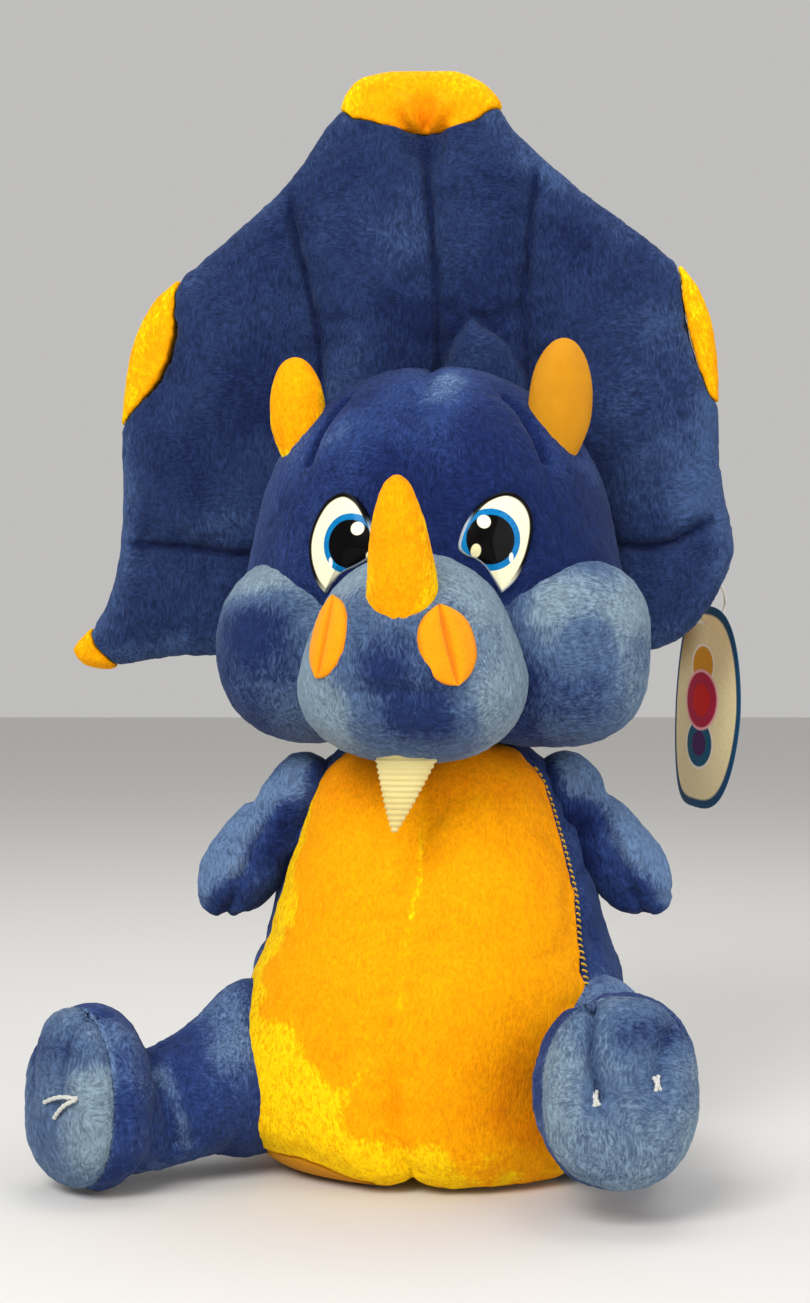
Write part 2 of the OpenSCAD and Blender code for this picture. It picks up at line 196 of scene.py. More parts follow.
def meet(a, b, width):
    """Intersection of two forms with a rounded edge"""
    return -join(-a, -b, width)


def ball(p, centre, radius):
    return np.linalg.norm(p - np.array(centre), axis=1) - radius


def egg(p, centre, half, power=2.0):
    q = np.abs(p - np.array(centre)) / np.array(half)
    size = (q ** power).sum(1) ** (1 / power) + 1e-6
    slope = np.linalg.norm(q / np.array(half), axis=1) / np.maximum(np.linalg.norm(q, axis=1), 1e-6)
    return (size - 1) / np.maximum(slope, 1e-6)


def tube(p, start, end, start_r, end_r):
    """Tapered round rod"""
    start, end = np.array(start, float), np.array(end, float)
    along = end - start
    t = np.clip((p - start) @ along / (along @ along), 0, 1)
    gap = p - (start + t[:, None] * along)
    return np.linalg.norm(gap, axis=1) - (start_r + t * (end_r - start_r))


SLOPE_REACH = 0.4
SETTLE_ROUNDS = 3
LONGEST_STEP = 1.5
GENTLEST_SLOPE = 0.15


def slope(form, points):
    """The direction in which a form's value grows, at each point"""
    steps = np.eye(3) * SLOPE_REACH
    return np.stack([(form(points + s) - form(points - s)) / (2 * SLOPE_REACH) for s in steps], -1)


def settle(form, points):
    """Moves points onto the surface of a form"""
    for _ in range(SETTLE_ROUNDS):
        grade = slope(form, points)
        strength = np.maximum((grade * grade).sum(1), GENTLEST_SLOPE)
        reach = np.clip(form(points) / strength, -LONGEST_STEP, LONGEST_STEP)
        points = points - reach[:, None] * grade
    return points


def surface(form, low, high, step):
    """Quads over the surface of a form, inside a box"""
    axes = [np.arange(a, b + step, step) for a, b in zip(low, high)]
    grid = np.stack(np.meshgrid(*axes, indexing="ij"), -1)
    value = form(grid.reshape(-1, 3)).reshape(grid.shape[:3])
    cells = np.array(value.shape) - 1
    total = np.zeros((*cells, 3))
    crossings = np.zeros(cells)
    for axis in range(3):
        unit = np.eye(3, dtype=int)[axis]
        for corner in np.ndindex(2, 2):
            start = np.insert(corner, axis, 0)
            a_part = tuple(slice(s, s + n) for s, n in zip(start, cells))
            b_part = tuple(slice(s, s + n) for s, n in zip(start + unit, cells))
            a, b = value[a_part], value[b_part]
            crosses = (a < 0) != (b < 0)
            share = np.where(crosses, a / np.where(crosses, a - b, 1), 0)[..., None]
            spot = grid[a_part] + share * (grid[b_part] - grid[a_part])
            total += np.where(crosses[..., None], spot, 0)
            crossings += crosses
    used = crossings > 0
    index = np.full(cells, -1)
    index[used] = np.arange(used.sum())
    points = total[used] / crossings[used][:, None]
    faces = []
    for axis in range(3):
        u, v = np.eye(3, dtype=int)[(axis + 1) % 3], np.eye(3, dtype=int)[(axis + 2) % 3]
        keep = [slice(1, -1)] * 3
        keep[axis] = slice(0, -1)
        ahead = list(keep)
        ahead[axis] = slice(1, None)
        a, b = value[tuple(keep)], value[tuple(ahead)]
        spots = np.argwhere((a < 0) != (b < 0))
        starts_inside = a[tuple(spots.T)] < 0
        spots = spots + u + v
        quad = [index[tuple((spots - shift).T)] for shift in (0 * u, u, u + v, v)]
        quad = np.stack(quad, 1)
        faces.append(np.where(starts_inside[:, None], quad, quad[:, ::-1]))
    return settle(form, points), np.vstack(faces)


# ------------------------ pieces

def make_piece(name, points, faces, body, material, replaces=(), fill=None, marks=None,
               place=None, slot=None):
    """A mesh that rides on a body, or on none.
    marks are values kept on its points for the material. place is given where it isn't the body's
    own. slot is not used."""
    mesh = bpy.data.meshes.new(name)
    faces = faces.tolist() if hasattr(faces, "tolist") else faces
    points = moved(points, PLACES[body] if place is None else place) * MM
    mesh.from_pydata(points.tolist(), [], faces)
    mesh.polygons.foreach_set("use_smooth", [True] * len(mesh.polygons))
    for mark, values in (marks or {}).items():
        values = np.asarray(values, float)
        kind, field = ("FLOAT", "value") if values.ndim == 1 else ("FLOAT_VECTOR", "vector")
        layer = mesh.attributes.new(mark, kind, "POINT")
        layer.data.foreach_set(field, values.astype(np.float32).ravel())
    mesh.materials.append(material)
    piece = bpy.data.objects.new(name, mesh)
    bpy.context.scene.collection.objects.link(piece)
    if body:
        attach(piece, body)
    if replaces:
        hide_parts(*replaces)
    return piece


PATCH_SIZE = 32
SMALL_PATCH_SIZE = 13
TUFT_SIZE = 4.2
SMALL_TUFT_SIZE = 2.1


def patchy(points, seed):
    """Where the pile lies the other way and looks pale, mostly from 0 to 1"""
    patches = 0.4 * noise(points, PATCH_SIZE, seed)
    return 0.42 + patches + 0.14 * noise(points, SMALL_PATCH_SIZE, seed + 1)


def tufts(points, seed):
    return noise(points, TUFT_SIZE, seed) + 0.8 * noise(points, SMALL_TUFT_SIZE, seed + 5)


# The cloth is simulated ten times larger than it is
CLOTH_SCALE = 0.01
CLOTH_STEP = 4.6
CLOTH_PRESSURE = 4
CLOTH_FRAMES = 20
CLOTH_LIMIT = 2.2


def slack_cloth(form, low, high, held, slack):
    """Lays a slightly loose cloth over the form, held where it is sewn, and blows it up.
    Gives the cloth's points at rest and how far each one moved, CLOTH_LIMIT at most."""
    points, faces = surface(form, low, high, CLOTH_STEP)
    mesh = bpy.data.meshes.new("loose_cloth")
    mesh.from_pydata((points * CLOTH_SCALE).tolist(), [], faces.tolist())
    cloth = bpy.data.objects.new("loose_cloth", mesh)
    scene = bpy.context.scene
    scene.collection.objects.link(cloth)
    group = cloth.vertex_groups.new(name="held")
    group.add(np.nonzero(held(points))[0].tolist(), 1.0, "REPLACE")
    modifier = cloth.modifiers.new("cloth", "CLOTH")
    modifier.settings.quality = 5
    modifier.settings.use_pressure = True
    modifier.settings.uniform_pressure_force = CLOTH_PRESSURE
    modifier.settings.shrink_min = -slack
    modifier.settings.effector_weights.gravity = 0
    modifier.settings.vertex_group_mass = "held"
    modifier.point_cache.frame_end = CLOTH_FRAMES
    for frame_number in range(1, CLOTH_FRAMES + 1):
        scene.frame_set(frame_number)
    blown = cloth.evaluated_get(bpy.context.evaluated_depsgraph_get()).to_mesh()
    moves = np.empty(len(points) * 3)
    blown.vertices.foreach_get("co", moves)
    moves = moves.reshape(-1, 3) / CLOTH_SCALE - points
    bpy.data.objects.remove(cloth)
    bpy.data.meshes.remove(mesh)
    scene.frame_set(1)
    length = np.maximum(np.linalg.norm(moves, axis=1), 1e-6)
    return points, moves * (np.minimum(length, CLOTH_LIMIT) / length)[:, None]


def carry_over(points, cloth_points, cloth_moves):
    """Moves fine points by what the cloth near them moved"""
    tree = KDTree(len(cloth_points))
    for i, point in enumerate(cloth_points):
        tree.insert(point, i)
    tree.balance()
    result = np.empty_like(points)
    for i, point in enumerate(points):
        near = tree.find_n(point, 5)
        weight = [1 / (gap * gap + 2) for _, _, gap in near]
        total = sum(w * cloth_moves[j] for w, (_, j, _) in zip(weight, near))
        result[i] = point + total / sum(weight)
    return result


def stuffed_piece(name, form, low, high, body, material, replaces, fill=0.8, step=1.4,
                  relief=None, pale=None, pile=0.3, seed=1, held=None, slack=0.05, **where):
    """A stuffed cloth form. relief gives how far the cloth stands out of it, in millimetres.
    held picks the points where the cloth is sewn down, and then its folds are simulated."""
    rest, faces = surface(form, low, high, step)
    out = slope(form, rest)
    out /= np.maximum(np.linalg.norm(out, axis=1), 1e-6)[:, None]
    raised = pile * tufts(rest, seed)
    if relief:
        raised = raised + relief(rest)
    nap_and_shading = patchy(rest, seed + 20)
    # pale adds painted shade and painted light to the pile's own patches
    if pale:
        nap_and_shading = np.clip(nap_and_shading + pale(rest), 0, 1)
    points = rest
    if held:
        points = carry_over(rest, *slack_cloth(form, low, high, held, slack))
    points = points + out * raised[:, None]
    return make_piece(name, points, faces, body, material, replaces, fill, {"nap_and_shading": nap_and_shading}, **where)


def groove(points, line, *cuts):
    """How a drawn-in line sinks the cloth around it. Each cut is a width and a depth."""
    gap = line_distance(points, np.array(line, float))
    return -sum(depth * np.exp(-(gap / width) ** 2) for width, depth in cuts)


def ring_walls(count, around, start=0):
    """Quads between rings of points that stand on each other"""
    faces = []
    for i in range(count - 1):
        low, high = start + i * around, start + (i + 1) * around
        for j in range(around):
            k = (j + 1) % around
            faces.append((low + j, low + k, high + k, high + j))
    return faces


def ring_piece(name, rings, body, material, replaces=(), fill=None, marks=None, **where):
    """A closed form from a stack of rings with the same number of points"""
    rings = np.array(rings)
    count, around = rings.shape[:2]
    points = np.vstack([rings.reshape(-1, 3), rings[0].mean(0), rings[-1].mean(0)])
    faces = ring_walls(count, around)
    bottom, top = count * around, count * around + 1
    last = (count - 1) * around
    for j in range(around):
        k = (j + 1) % around
        faces.append((bottom, k, j))
        faces.append((top, last + j, last + k))
    values = {}
    for mark, value in (marks or {}).items():
        value = np.array(value, float)
        flat = value.reshape(count * around, -1)
        ends = [value[0].reshape(around, -1).mean(0), value[-1].reshape(around, -1).mean(0)]
        values[mark] = np.vstack([flat, *ends])
        if value.ndim == 2:
            values[mark] = values[mark][:, 0]
    return make_piece(name, points, faces, body, material, replaces, fill, values, **where)


def thread(path, radius, around=8):
    """A closed tube along a path, as rings"""
    path = smooth_line(path, steps=6)
    rings = []
    for i, point in enumerate(path):
        along = path[min(i + 1, len(path) - 1)] - path[max(i - 1, 0)]
        along = along / np.linalg.norm(along)
        side = np.cross(along, (0.3, 0.5, 0.81))
        side /= np.linalg.norm(side)
        up = np.cross(along, side)
        swell = radius * (1 + 0.18 * math.sin(i * 1.9))
        angles = np.linspace(0, 2 * np.pi, around, endpoint=False)
        rings.append(point + swell * (np.outer(np.cos(angles), side)
                                      + np.outer(np.sin(angles), up)))
    return rings


def join_rings(name, stacks, body, material, replaces=(), **where):
    """One piece from several closed tubes"""
    points, faces = [], []
    for rings in stacks:
        rings = np.array(rings)
        count, around = rings.shape[:2]
        start = sum(len(p) for p in points)
        last = start + (count - 1) * around
        points.append(rings.reshape(-1, 3))
        faces += [quad[::-1] for quad in ring_walls(count, around, start)]
        faces.append(tuple(range(start, start + around)))
        faces.append(tuple(reversed(range(last, last + around))))
    make_piece(name, np.vstack(points), faces, body, material, replaces, **where)


# ------------------------ materials

def srgb(red, green, blue):
    def linear(c):
        c = c / 255
        return c / 12.92 if c <= 0.04045 else ((c + 0.055) / 1.055) ** 2.4
    return (linear(red), linear(green), linear(blue), 1)


def new_material(name, roughness, sheen=0.0, sheen_tint=(1, 1, 1, 1), specular=0.5):
    material = bpy.data.materials.new(name)
    material.use_nodes = True
    shader = material.node_tree.nodes["Principled BSDF"]
    shader.inputs["Roughness"].default_value = roughness
    shader.inputs["Sheen Weight"].default_value = sheen
    shader.inputs["Sheen Roughness"].default_value = 0.45
    shader.inputs["Sheen Tint"].default_value = sheen_tint
    shader.inputs["Specular IOR Level"].default_value = specular
    return material, material.node_tree, shader


def add(tree, kind, inputs=None, **settings):
    node = tree.nodes.new("ShaderNode" + kind)
    for key, value in settings.items():
        setattr(node, key, value)
    for key, value in (inputs or {}).items():
        if isinstance(value, bpy.types.NodeSocket):
            tree.links.new(value, node.inputs[key])
        else:
            node.inputs[key].default_value = value
    return node


def mix_colour(tree, share, a, b, blend="MIX"):
    node = add(tree, "Mix", {0: share, 6: a, 7: b}, data_type="RGBA", blend_type=blend)
    return node.outputs[2]


def math_node(tree, operation, a, b=0.0, c=0.0, clamp=False):
    node = add(tree, "Math", {0: a, 1: b, 2: c}, operation=operation, use_clamp=clamp)
    return node.outputs[0]


def stretch(tree, value, low, high, out_low=0.0, out_high=1.0):
    node = add(tree, "MapRange", {0: value, 1: low, 2: high, 3: out_low, 4: out_high},
               interpolation_type="SMOOTHSTEP")
    return node.outputs[0]


def object_noise(tree, scale, detail, lean=(1, 1, 1), sway=0.0, sway_scale=30.0, rough=0.55):
    """Noise fixed to the object; lean squashes it along an axis and sway bends its streaks"""
    place = add(tree, "TexCoord").outputs["Object"]
    if sway:
        bend = add(tree, "TexNoise", {"Vector": place, "Scale": sway_scale, "Detail": 1.0})
        centred = add(tree, "VectorMath", {0: bend.outputs["Color"], 1: (0.5, 0.5, 0.5)},
                      operation="SUBTRACT").outputs[0]
        place = add(tree, "VectorMath", {0: centred, 1: (sway, sway, sway), 2: place},
                    operation="MULTIPLY_ADD").outputs[0]
    place = add(tree, "VectorMath", {0: place, 1: lean}, operation="MULTIPLY").outputs[0]
    node = add(tree, "TexNoise", {"Vector": place, "Scale": scale, "Detail": detail,
                                  "Roughness": rough})
    return node.outputs[0]


def mark(tree, name, output="Fac"):
    """A value that is kept on the mesh's points"""
    return add(tree, "Attribute", attribute_name=name).outputs[output]


def swung(tree, value, swing, amount):
    """The value with a noise from 0 to 1 added around it"""
    lowered = math_node(tree, "SUBTRACT", value, amount / 2)
    return math_node(tree, "MULTIPLY_ADD", swing, amount, lowered)


def round_print(tree, centre, radius, soft, squash=(1, 1, 1)):
    """1 inside a round print, 0 outside it"""
    spot = mark(tree, "spot", "Vector")
    gap = add(tree, "VectorMath", {0: spot, 1: (*centre, 0)}, operation="SUBTRACT").outputs[0]
    gap = add(tree, "VectorMath", {0: gap, 1: squash}, operation="MULTIPLY").outputs[0]
    length = add(tree, "VectorMath", {0: gap}, operation="LENGTH").outputs["Value"]
    return stretch(tree, length, radius + soft, radius - soft)


def paint(tree, shader, colour):
    tree.links.new(colour, shader.inputs["Base Color"])


def bump(tree, shader, height, distance, strength, after=None):
    inputs = {"Height": height, "Distance": distance, "Strength": strength}
    if after:
        inputs["Normal"] = after
    node = add(tree, "Bump", inputs)
    tree.links.new(node.outputs[0], shader.inputs["Normal"])
    return node.outputs[0]


def shaded(tree, colour, value, low, high):
    """The colour made darker where value is low and lighter where it is high"""
    shade = stretch(tree, value, 0.3, 0.7, low, high)
    grey = add(tree, "CombineColor", {0: shade, 1: shade, 2: shade}).outputs[0]
    return mix_colour(tree, 1.0, colour, grey, "MULTIPLY")


def strands(tree):
    """Fine strands of pile, brushed upright in some places and sideways in others"""
    upright = object_noise(tree, 1100, 2, lean=(1, 1, 0.24), sway=0.006, sway_scale=90, rough=0.7)
    sideways = object_noise(tree, 1100, 2, lean=(0.3, 1, 0.9), sway=0.006, sway_scale=90,
                            rough=0.7)
    place = stretch(tree, object_noise(tree, 38, 1), 0.46, 0.6)
    apart = math_node(tree, "SUBTRACT", sideways, upright)
    return math_node(tree, "MULTIPLY_ADD", place, apart, upright)


def plush(name, deep, middle, pale):
    """Short pile: deep where it is brushed away from the eye and pale where it stands up. Its marks
    also carry painted shade and painted light.
    """
    material, tree, shader = new_material(name, 0.95, 0.12, (0.5, 0.65, 1, 1), 0.1)
    brushed = object_noise(tree, 55, 2, lean=(1, 1, 0.8), sway=0.02, rough=0.5)
    tufts = object_noise(tree, 420, 3, lean=(1, 1, 0.6), sway=0.012, rough=0.6)
    fibres = strands(tree)
    lie = swung(tree, mark(tree, "nap_and_shading"), brushed, 0.5)
    lie = swung(tree, swung(tree, lie, tufts, 0.3), fibres, 0.5)
    colour = mix_colour(tree, stretch(tree, lie, 0.0, 0.5), deep, middle)
    colour = mix_colour(tree, stretch(tree, lie, 0.45, 1.0), colour, pale)
    colour = shaded(tree, shaded(tree, colour, fibres, 0.72, 1.24), tufts, 0.88, 1.1)
    paint(tree, shader, colour)
    first = bump(tree, shader, tufts, 0.0011, 0.5)
    bump(tree, shader, fibres, 0.0006, 0.9, first)
    return material


def velour(name, dark, middle, bright):
    """Crushed golden pile with bright broken glints where the nap mark is high"""
    material, tree, shader = new_material(name, 0.85, 0.06, (1, 0.7, 0.1, 1), 0.08)
    brushed = object_noise(tree, 90, 3, lean=(1, 1, 0.7), sway=0.02, rough=0.5)
    crush = object_noise(tree, 520, 3, lean=(1, 1, 0.6), sway=0.012, rough=0.7)
    fibres = object_noise(tree, 1100, 2, lean=(1, 1, 0.4), sway=0.004, sway_scale=120, rough=0.7)
    lie = swung(tree, mark(tree, "nap_and_shading"), brushed, 0.5)
    glints = math_node(tree, "MULTIPLY_ADD", crush, 1.2, math_node(tree, "SUBTRACT", lie, 0.65))
    colour = mix_colour(tree, stretch(tree, lie, -0.15, 0.35), dark, middle)
    colour = mix_colour(tree, stretch(tree, glints, 0.45, 0.95), colour, bright)
    flecks = stretch(tree, swung(tree, glints, fibres, 0.8), 0.75, 1.0)
    flecks = math_node(tree, "MULTIPLY", flecks, 0.7)
    colour = mix_colour(tree, flecks, colour, srgb(255, 216, 10))
    colour = shaded(tree, shaded(tree, colour, fibres, 0.86, 1.1), crush, 0.9, 1.06)
    paint(tree, shader, colour)
    first = bump(tree, shader, crush, 0.0009, 0.45)
    bump(tree, shader, fibres, 0.0004, 0.7, first)
    return material


def woven(name, colour, darker, roughness=0.75, pitch=1900):
    """Smooth cloth with a fine weave"""
    material, tree, shader = new_material(name, roughness, 0.12, colour, 0.3)
    place = add(tree, "TexCoord").outputs["Object"]
    weave = [add(tree, "TexWave", {"Vector": place, "Scale": pitch, "Distortion": 0.6},
                 wave_type="BANDS", bands_direction=axis).outputs["Fac"] for axis in "XZ"]
    threads = math_node(tree, "MAXIMUM", weave[0], weave[1])
    blotches = stretch(tree, object_noise(tree, 45, 3), 0.3, 0.75, 0.0, 0.5)
    share = math_node(tree, "MULTIPLY_ADD", threads, 0.25, blotches)
    paint(tree, shader, mix_colour(tree, share, colour, darker))
    bump(tree, shader, threads, 0.0003, 0.6)
    return material


def felt(name, colour, darker):
    """Matted fibres, darker in blotches and where the nap mark is high"""
    material, tree, shader = new_material(name, 0.9, 0.2, (1, 0.75, 0.4, 1), 0.2)
    matted = object_noise(tree, 800, 4, rough=0.75)
    blotches = math_node(tree, "MULTIPLY_ADD", object_noise(tree, 160, 2), 0.35, -0.25)
    share = math_node(tree, "MULTIPLY_ADD", matted, 0.5, blotches)
    share = math_node(tree, "ADD", share, mark(tree, "nap_and_shading"), clamp=True)
    paint(tree, shader, mix_colour(tree, share, colour, darker))
    bump(tree, shader, matted, 0.0004, 0.8)
    return material


def plain_plastic(name, colour, roughness):
    """Smooth plastic, a little cloudy"""
    material, tree, shader = new_material(name, roughness)
    cloudy = stretch(tree, object_noise(tree, 220, 2), 0.3, 0.7)
    darker = tuple(0.8 * c for c in colour[:3]) + (1,)
    paint(tree, shader, mix_colour(tree, cloudy, colour, darker))
    return material


BLUE = plush("blue_plush", srgb(20, 34, 80), srgb(38, 57, 108), srgb(94, 119, 155))
BLUE_FRILL = plush("blue_plush_frill", srgb(21, 33, 70), srgb(34, 49, 87), srgb(57, 77, 116))
PALE = plush("pale_blue_plush", srgb(30, 45, 88), srgb(72, 93, 126), srgb(120, 140, 154))
GOLD = velour("golden_velour", srgb(244, 140, 0), srgb(254, 164, 0), srgb(255, 190, 0))
# Smooth base cloth; on the left brow horn it is a painted shade of the golden velour
DULL_GOLD_AND_SHADE = woven("smooth_golden_cloth", srgb(232, 160, 8), srgb(206, 130, 4))
FELT = felt("orange_felt", srgb(252, 160, 2), srgb(190, 90, 4))
CREAM = woven("cream_rib", srgb(252, 236, 170), srgb(226, 200, 116), 0.8, 2400)
THREAD = woven("white_thread", srgb(240, 240, 232), srgb(200, 200, 192), 0.7, 4000)
THREAD_GOLD = woven("golden_thread", srgb(252, 214, 60), srgb(240, 176, 20), 0.7, 4000)
TAPE = woven("label_tape", srgb(206, 38, 34), srgb(150, 20, 22), 0.7, 3000)
CLEAR = plain_plastic("tag_plastic", srgb(222, 222, 218), 0.3)

# ------------------------ camera, light and floor

CAMERA_AT = (-0.012, -0.9, 0.202)
CAMERA_LENS = 62.16
CAMERA_SENSOR = 36
LOOK_LEVEL = (math.pi / 2, 0, 0)
camera_data = bpy.data.cameras.new("camera")
camera_data.lens = CAMERA_LENS
camera_data.sensor_width = CAMERA_SENSOR
camera = bpy.data.objects.new("camera", camera_data)
camera.location = CAMERA_AT
camera.rotation_euler = LOOK_LEVEL
bpy.context.scene.collection.objects.link(camera)
bpy.context.scene.camera = camera


def softbox(name, location, aim, size, power):
    data = bpy.data.lights.new(name, "AREA")
    data.energy = power
    data.size = size
    lamp = bpy.data.objects.new(name, data)
    lamp.location = location
    direction = Vector(aim) - Vector(location)
    lamp.rotation_euler = direction.to_track_quat("-Z", "Y").to_euler()
    bpy.context.scene.collection.objects.link(lamp)


softbox("key_light", (-0.6, -1.3, 1.2), (0, 0, 0.22), 0.8, 24)
softbox("fill_light", (1.2, -1.1, 0.5), (0, 0, 0.2), 1.0, 8)
softbox("top_light", (0.1, 0.3, 1.5), (0, 0, 0.25), 0.9, 8)

world = bpy.data.worlds.new("studio")
world.use_nodes = True
background = world.node_tree.nodes["Background"]
background.inputs["Color"].default_value = (0.95, 0.94, 0.92, 1)
background.inputs["Strength"].default_value = 0.55
bpy.context.scene.world = world
bpy.context.scene.view_settings.view_transform = "Standard"

FLOOR_HALF = 6
FLOOR_DROP = 0.0003
floor_mesh = bpy.data.meshes.new("floor")
floor_corners = [(x * FLOOR_HALF, y * FLOOR_HALF, 0)
                 for x, y in ((-1, -1), (1, -1), (1, 1), (-1, 1))]
floor_mesh.from_pydata(floor_corners, [], [(0, 1, 2, 3)])
floor_material, _, floor_shader = new_material("floor", 0.85)
floor_shader.inputs["Base Color"].default_value = (0.7, 0.69, 0.67, 1)
floor_mesh.materials.append(floor_material)
floor = bpy.data.objects.new("floor", floor_mesh)
floor.location.z = -FLOOR_DROP
bpy.context.scene.collection.objects.link(floor)

# ------------------------ body

BODY_PROFILE = smooth_line([
    (0, 57), (4, 65), (10, 70), (25, 74), (50, 74.5), (75, 71.5), (91, 66), (112, 61),
    (128, 56), (141, 51.5), (152, 46.5), (159, 40), (165, 30), (170, 0)])
BELLY_RIGHT_EDGE = [(0, -84), (60, -86), (92, -80), (130, -76), (180, -76)]
BELLY_LEFT_EDGE = [(0, 48), (50, 50), (68, 52), (79, 53), (92, 56), (107, 60), (128, 62),
                   (180, 66)]
BELLY_SEAM = [(8, -8.7), (15, -11), (27, -12.3), (55, -11.4), (74, -11.1), (95, -10.5),
              (102, -9.3), (116, -6.5), (180, -5)]


def azimuth(p):
    """Angle from straight ahead, towards the toy's left"""
    return np.degrees(np.arctan2(p[:, 0], -p[:, 1]))


def at_height(z, table):
    """Reads a table of heights and values"""
    heights, values = zip(*table)
    return np.interp(z, heights, values)


def body_form(p):
    angle, z = azimuth(p), p[:, 2]
    radius = np.interp(z, BODY_PROFILE[:, 0], BODY_PROFILE[:, 1])
    # The right leg's root pushes the belly out beside it
    radius = radius + 7 * hump(angle, -66, 20) * hump(z, 38, 32)
    # The belly sinks in a little where the left leg starts
    radius = radius - 3 * hump(angle, 30, 13) * hump(z, 36, 18)
    folds = noise(p * np.array([1, 1, 0.35]), 24, 3)
    radius = radius + 1.3 * folds * ramp(z, 4, 25)
    return meet(np.hypot(p[:, 0], p[:, 1]) - radius, -z, 3)


def base_height(p):
    """How high the base panel's edge stands; it is higher towards both sides"""
    return 1.5 + 9 * ramp(azimuth(p), -14, -50) + 5 * ramp(azimuth(p), 60, 120)


def arc(p, edge):
    """Distance around the body from an edge, positive towards the toy's left"""
    radius = np.maximum(np.hypot(p[:, 0], p[:, 1]), 1)
    return np.radians(azimuth(p) - at_height(p[:, 2], edge)) * radius


FRAY_LENGTH = 0.55
FRAY_SPACING = 3.4


def belly_region(p):
    """Negative inside the belly panel, with the frayed teeth of its edge"""
    teeth = FRAY_LENGTH * np.abs((p[:, 2] / FRAY_SPACING) % 2 - 1)
    return -np.minimum(arc(p, BELLY_RIGHT_EDGE), -arc(p, BELLY_LEFT_EDGE)) - teeth


def belly_form(p):
    sides = meet(body_form(p) - 0.7, belly_region(p), 2.5)
    return meet(sides, base_height(p) - p[:, 2], 1.5)


def body_skin_form(p):
    sides = meet(body_form(p), 0.5 - belly_region(p), 3)
    return meet(sides, base_height(p) - p[:, 2], 1.5)


def base_form(p):
    return meet(body_form(p) + 0.6, p[:, 2] - base_height(p) + 0.2, 1.5)


def belly_relief(p):
    gap = arc(p, BELLY_SEAM)
    low = ramp(p[:, 2], 75, 30)
    seam = -(0.7 + 2.0 * low) * np.exp(-np.abs(gap) / 1.5) - (0.8 + 1.6 * low) * hump(gap, 0, 8)
    creases = 0.5 * noise(p * np.array([0.5, 0.5, 1]), 11, 8) * ramp(p[:, 2], 60, 20)
    return seam + creases


def belly_nap_and_shading(p):
    """Bright where the pile is crushed: low on the right side and along the edges. Also painted
    shade under the head and in the hollow by the left leg, and a painted highlight along the middle
    seam.
    """
    angle, z = azimuth(p), p[:, 2]
    clouds = 16 * noise(p, 24, 31) + 10 * noise(p, 9, 32)
    lower_right = ramp(z + 0.9 * (angle + 84) + clouds, 104, 80)
    bottom = ramp(z, 34, 6)
    edges = 1.5 * ramp(angle + 0.6 * clouds, -50, -68) * ramp(z, 165, 140)
    edges = edges + 0.6 * ramp(angle, 40, 50) * ramp(z, 100, 40)
    # painted shade under the head and in the hollow by the left leg
    shade_under_head = -0.4 * ramp(z, 135, 160)
    hollow_shade = -0.7 * hump(angle, 30, 12) * hump(z, 34, 20)
    # painted highlight along the middle seam
    seam_highlight = 0.55 * hump(arc(p, BELLY_SEAM), 0, 1.5) * ramp(z, 45, 75) * ramp(z, 158, 130)
    calm = -0.75 * patchy(p, 22) + 0.12
    bright = 0.8 * lower_right + 0.55 * bottom + 0.7 * edges + seam_highlight
    return bright + shade_under_head + hollow_shade + calm * (1 - lower_right)


BODY_LOW = (-88, -84, -3)
BODY_HIGH = (84, 84, 182)
BELLY_HIGH = (84, 30, 182)
BASE_HIGH = (84, 84, 14)
stuffed_piece("belly", belly_form, BODY_LOW, BELLY_HIGH, "body", GOLD, ["belly_panel"], 0.85,
              relief=belly_relief, pale=belly_nap_and_shading, pile=0.12, seed=2, slack=0.03,
              held=lambda p: (body_form(p) < 0) | (np.abs(arc(p, BELLY_SEAM)) < 2.5))
stuffed_piece("body", body_skin_form, BODY_LOW, BODY_HIGH, "body", BLUE,
              ["body_skin", "body_stuffing", "pellet_bag"], 0.85, step=1.6, seed=3,
              held=lambda p: body_form(p) < -1)
stuffed_piece("base", base_form, BODY_LOW, BASE_HIGH, "body", DULL_GOLD_AND_SHADE, ["base_panel"], 0.85,
              pile=0.05, seed=4)


def on_body(angle, z, above):
    """A point over the body's surface"""
    reach = np.linspace(30, 90, 601)
    angle = math.radians(angle)
    line = np.column_stack([reach * math.sin(angle), -reach * math.cos(angle), 0 * reach + z])
    edge = reach[body_form(line) < 0].max() + above
    return (edge * math.sin(angle), -edge * math.cos(angle), z)


FRINGE_SPACING = 2.3
fringe = []
for height in np.arange(48, 158, FRINGE_SPACING):
    angle = at_height(height, BELLY_LEFT_EDGE)
    fringe.append(thread([on_body(angle - 1.0, height + 0.5, 0.8),
                          on_body(angle + 0.2, height, 0.9),
                          on_body(angle + 1.4, height - 0.7, 0.2)], 0.42, 6))
join_rings("belly_edge_threads", fringe, "body", THREAD_GOLD, slot="golden_velour")

# ------------------------ neck and tail


def neck_form(p):
    return egg(p, (0, 2, 176), (34, 32, 16))


def tail_form(p):
    root = tube(p, (0, 0, -8), (0, 0, 24), 24, 18)
    tip = tube(p, (0, 0, 24), (0, 4, 66), 18, 8.5)
    return join(root, tip, 10) + 1.2 * noise(p, 20, 4)


def tail_relief(p):
    seam = [(0, -40, -20), (0, -21, 10), (0, -16, 30), (0, -9, 55), (0, 0, 80)]
    return groove(p, seam, (1.6, 1.6), (6, 0.8))


stuffed_piece("neck", neck_form, (-38, -34, 156), (38, 38, 196), "neck", BLUE,
              ["neck_skin", "neck_stuffing"], 0.7, step=2.2)
stuffed_piece("tail", tail_form, (-30, -30, -36), (30, 30, 80), "tail", BLUE,
              ["tail_skin", "tail_stuffing"], relief=tail_relief, seed=5)

# ------------------------ head


def crown_form(p):
    top = egg(p, (0, 0, 0), (69, 62, 68))
    jaw = egg(p, (0, -4, -22), (72, 55, 42))
    return join(top, jaw, 14) + 0.8 * noise(p, 34, 6)


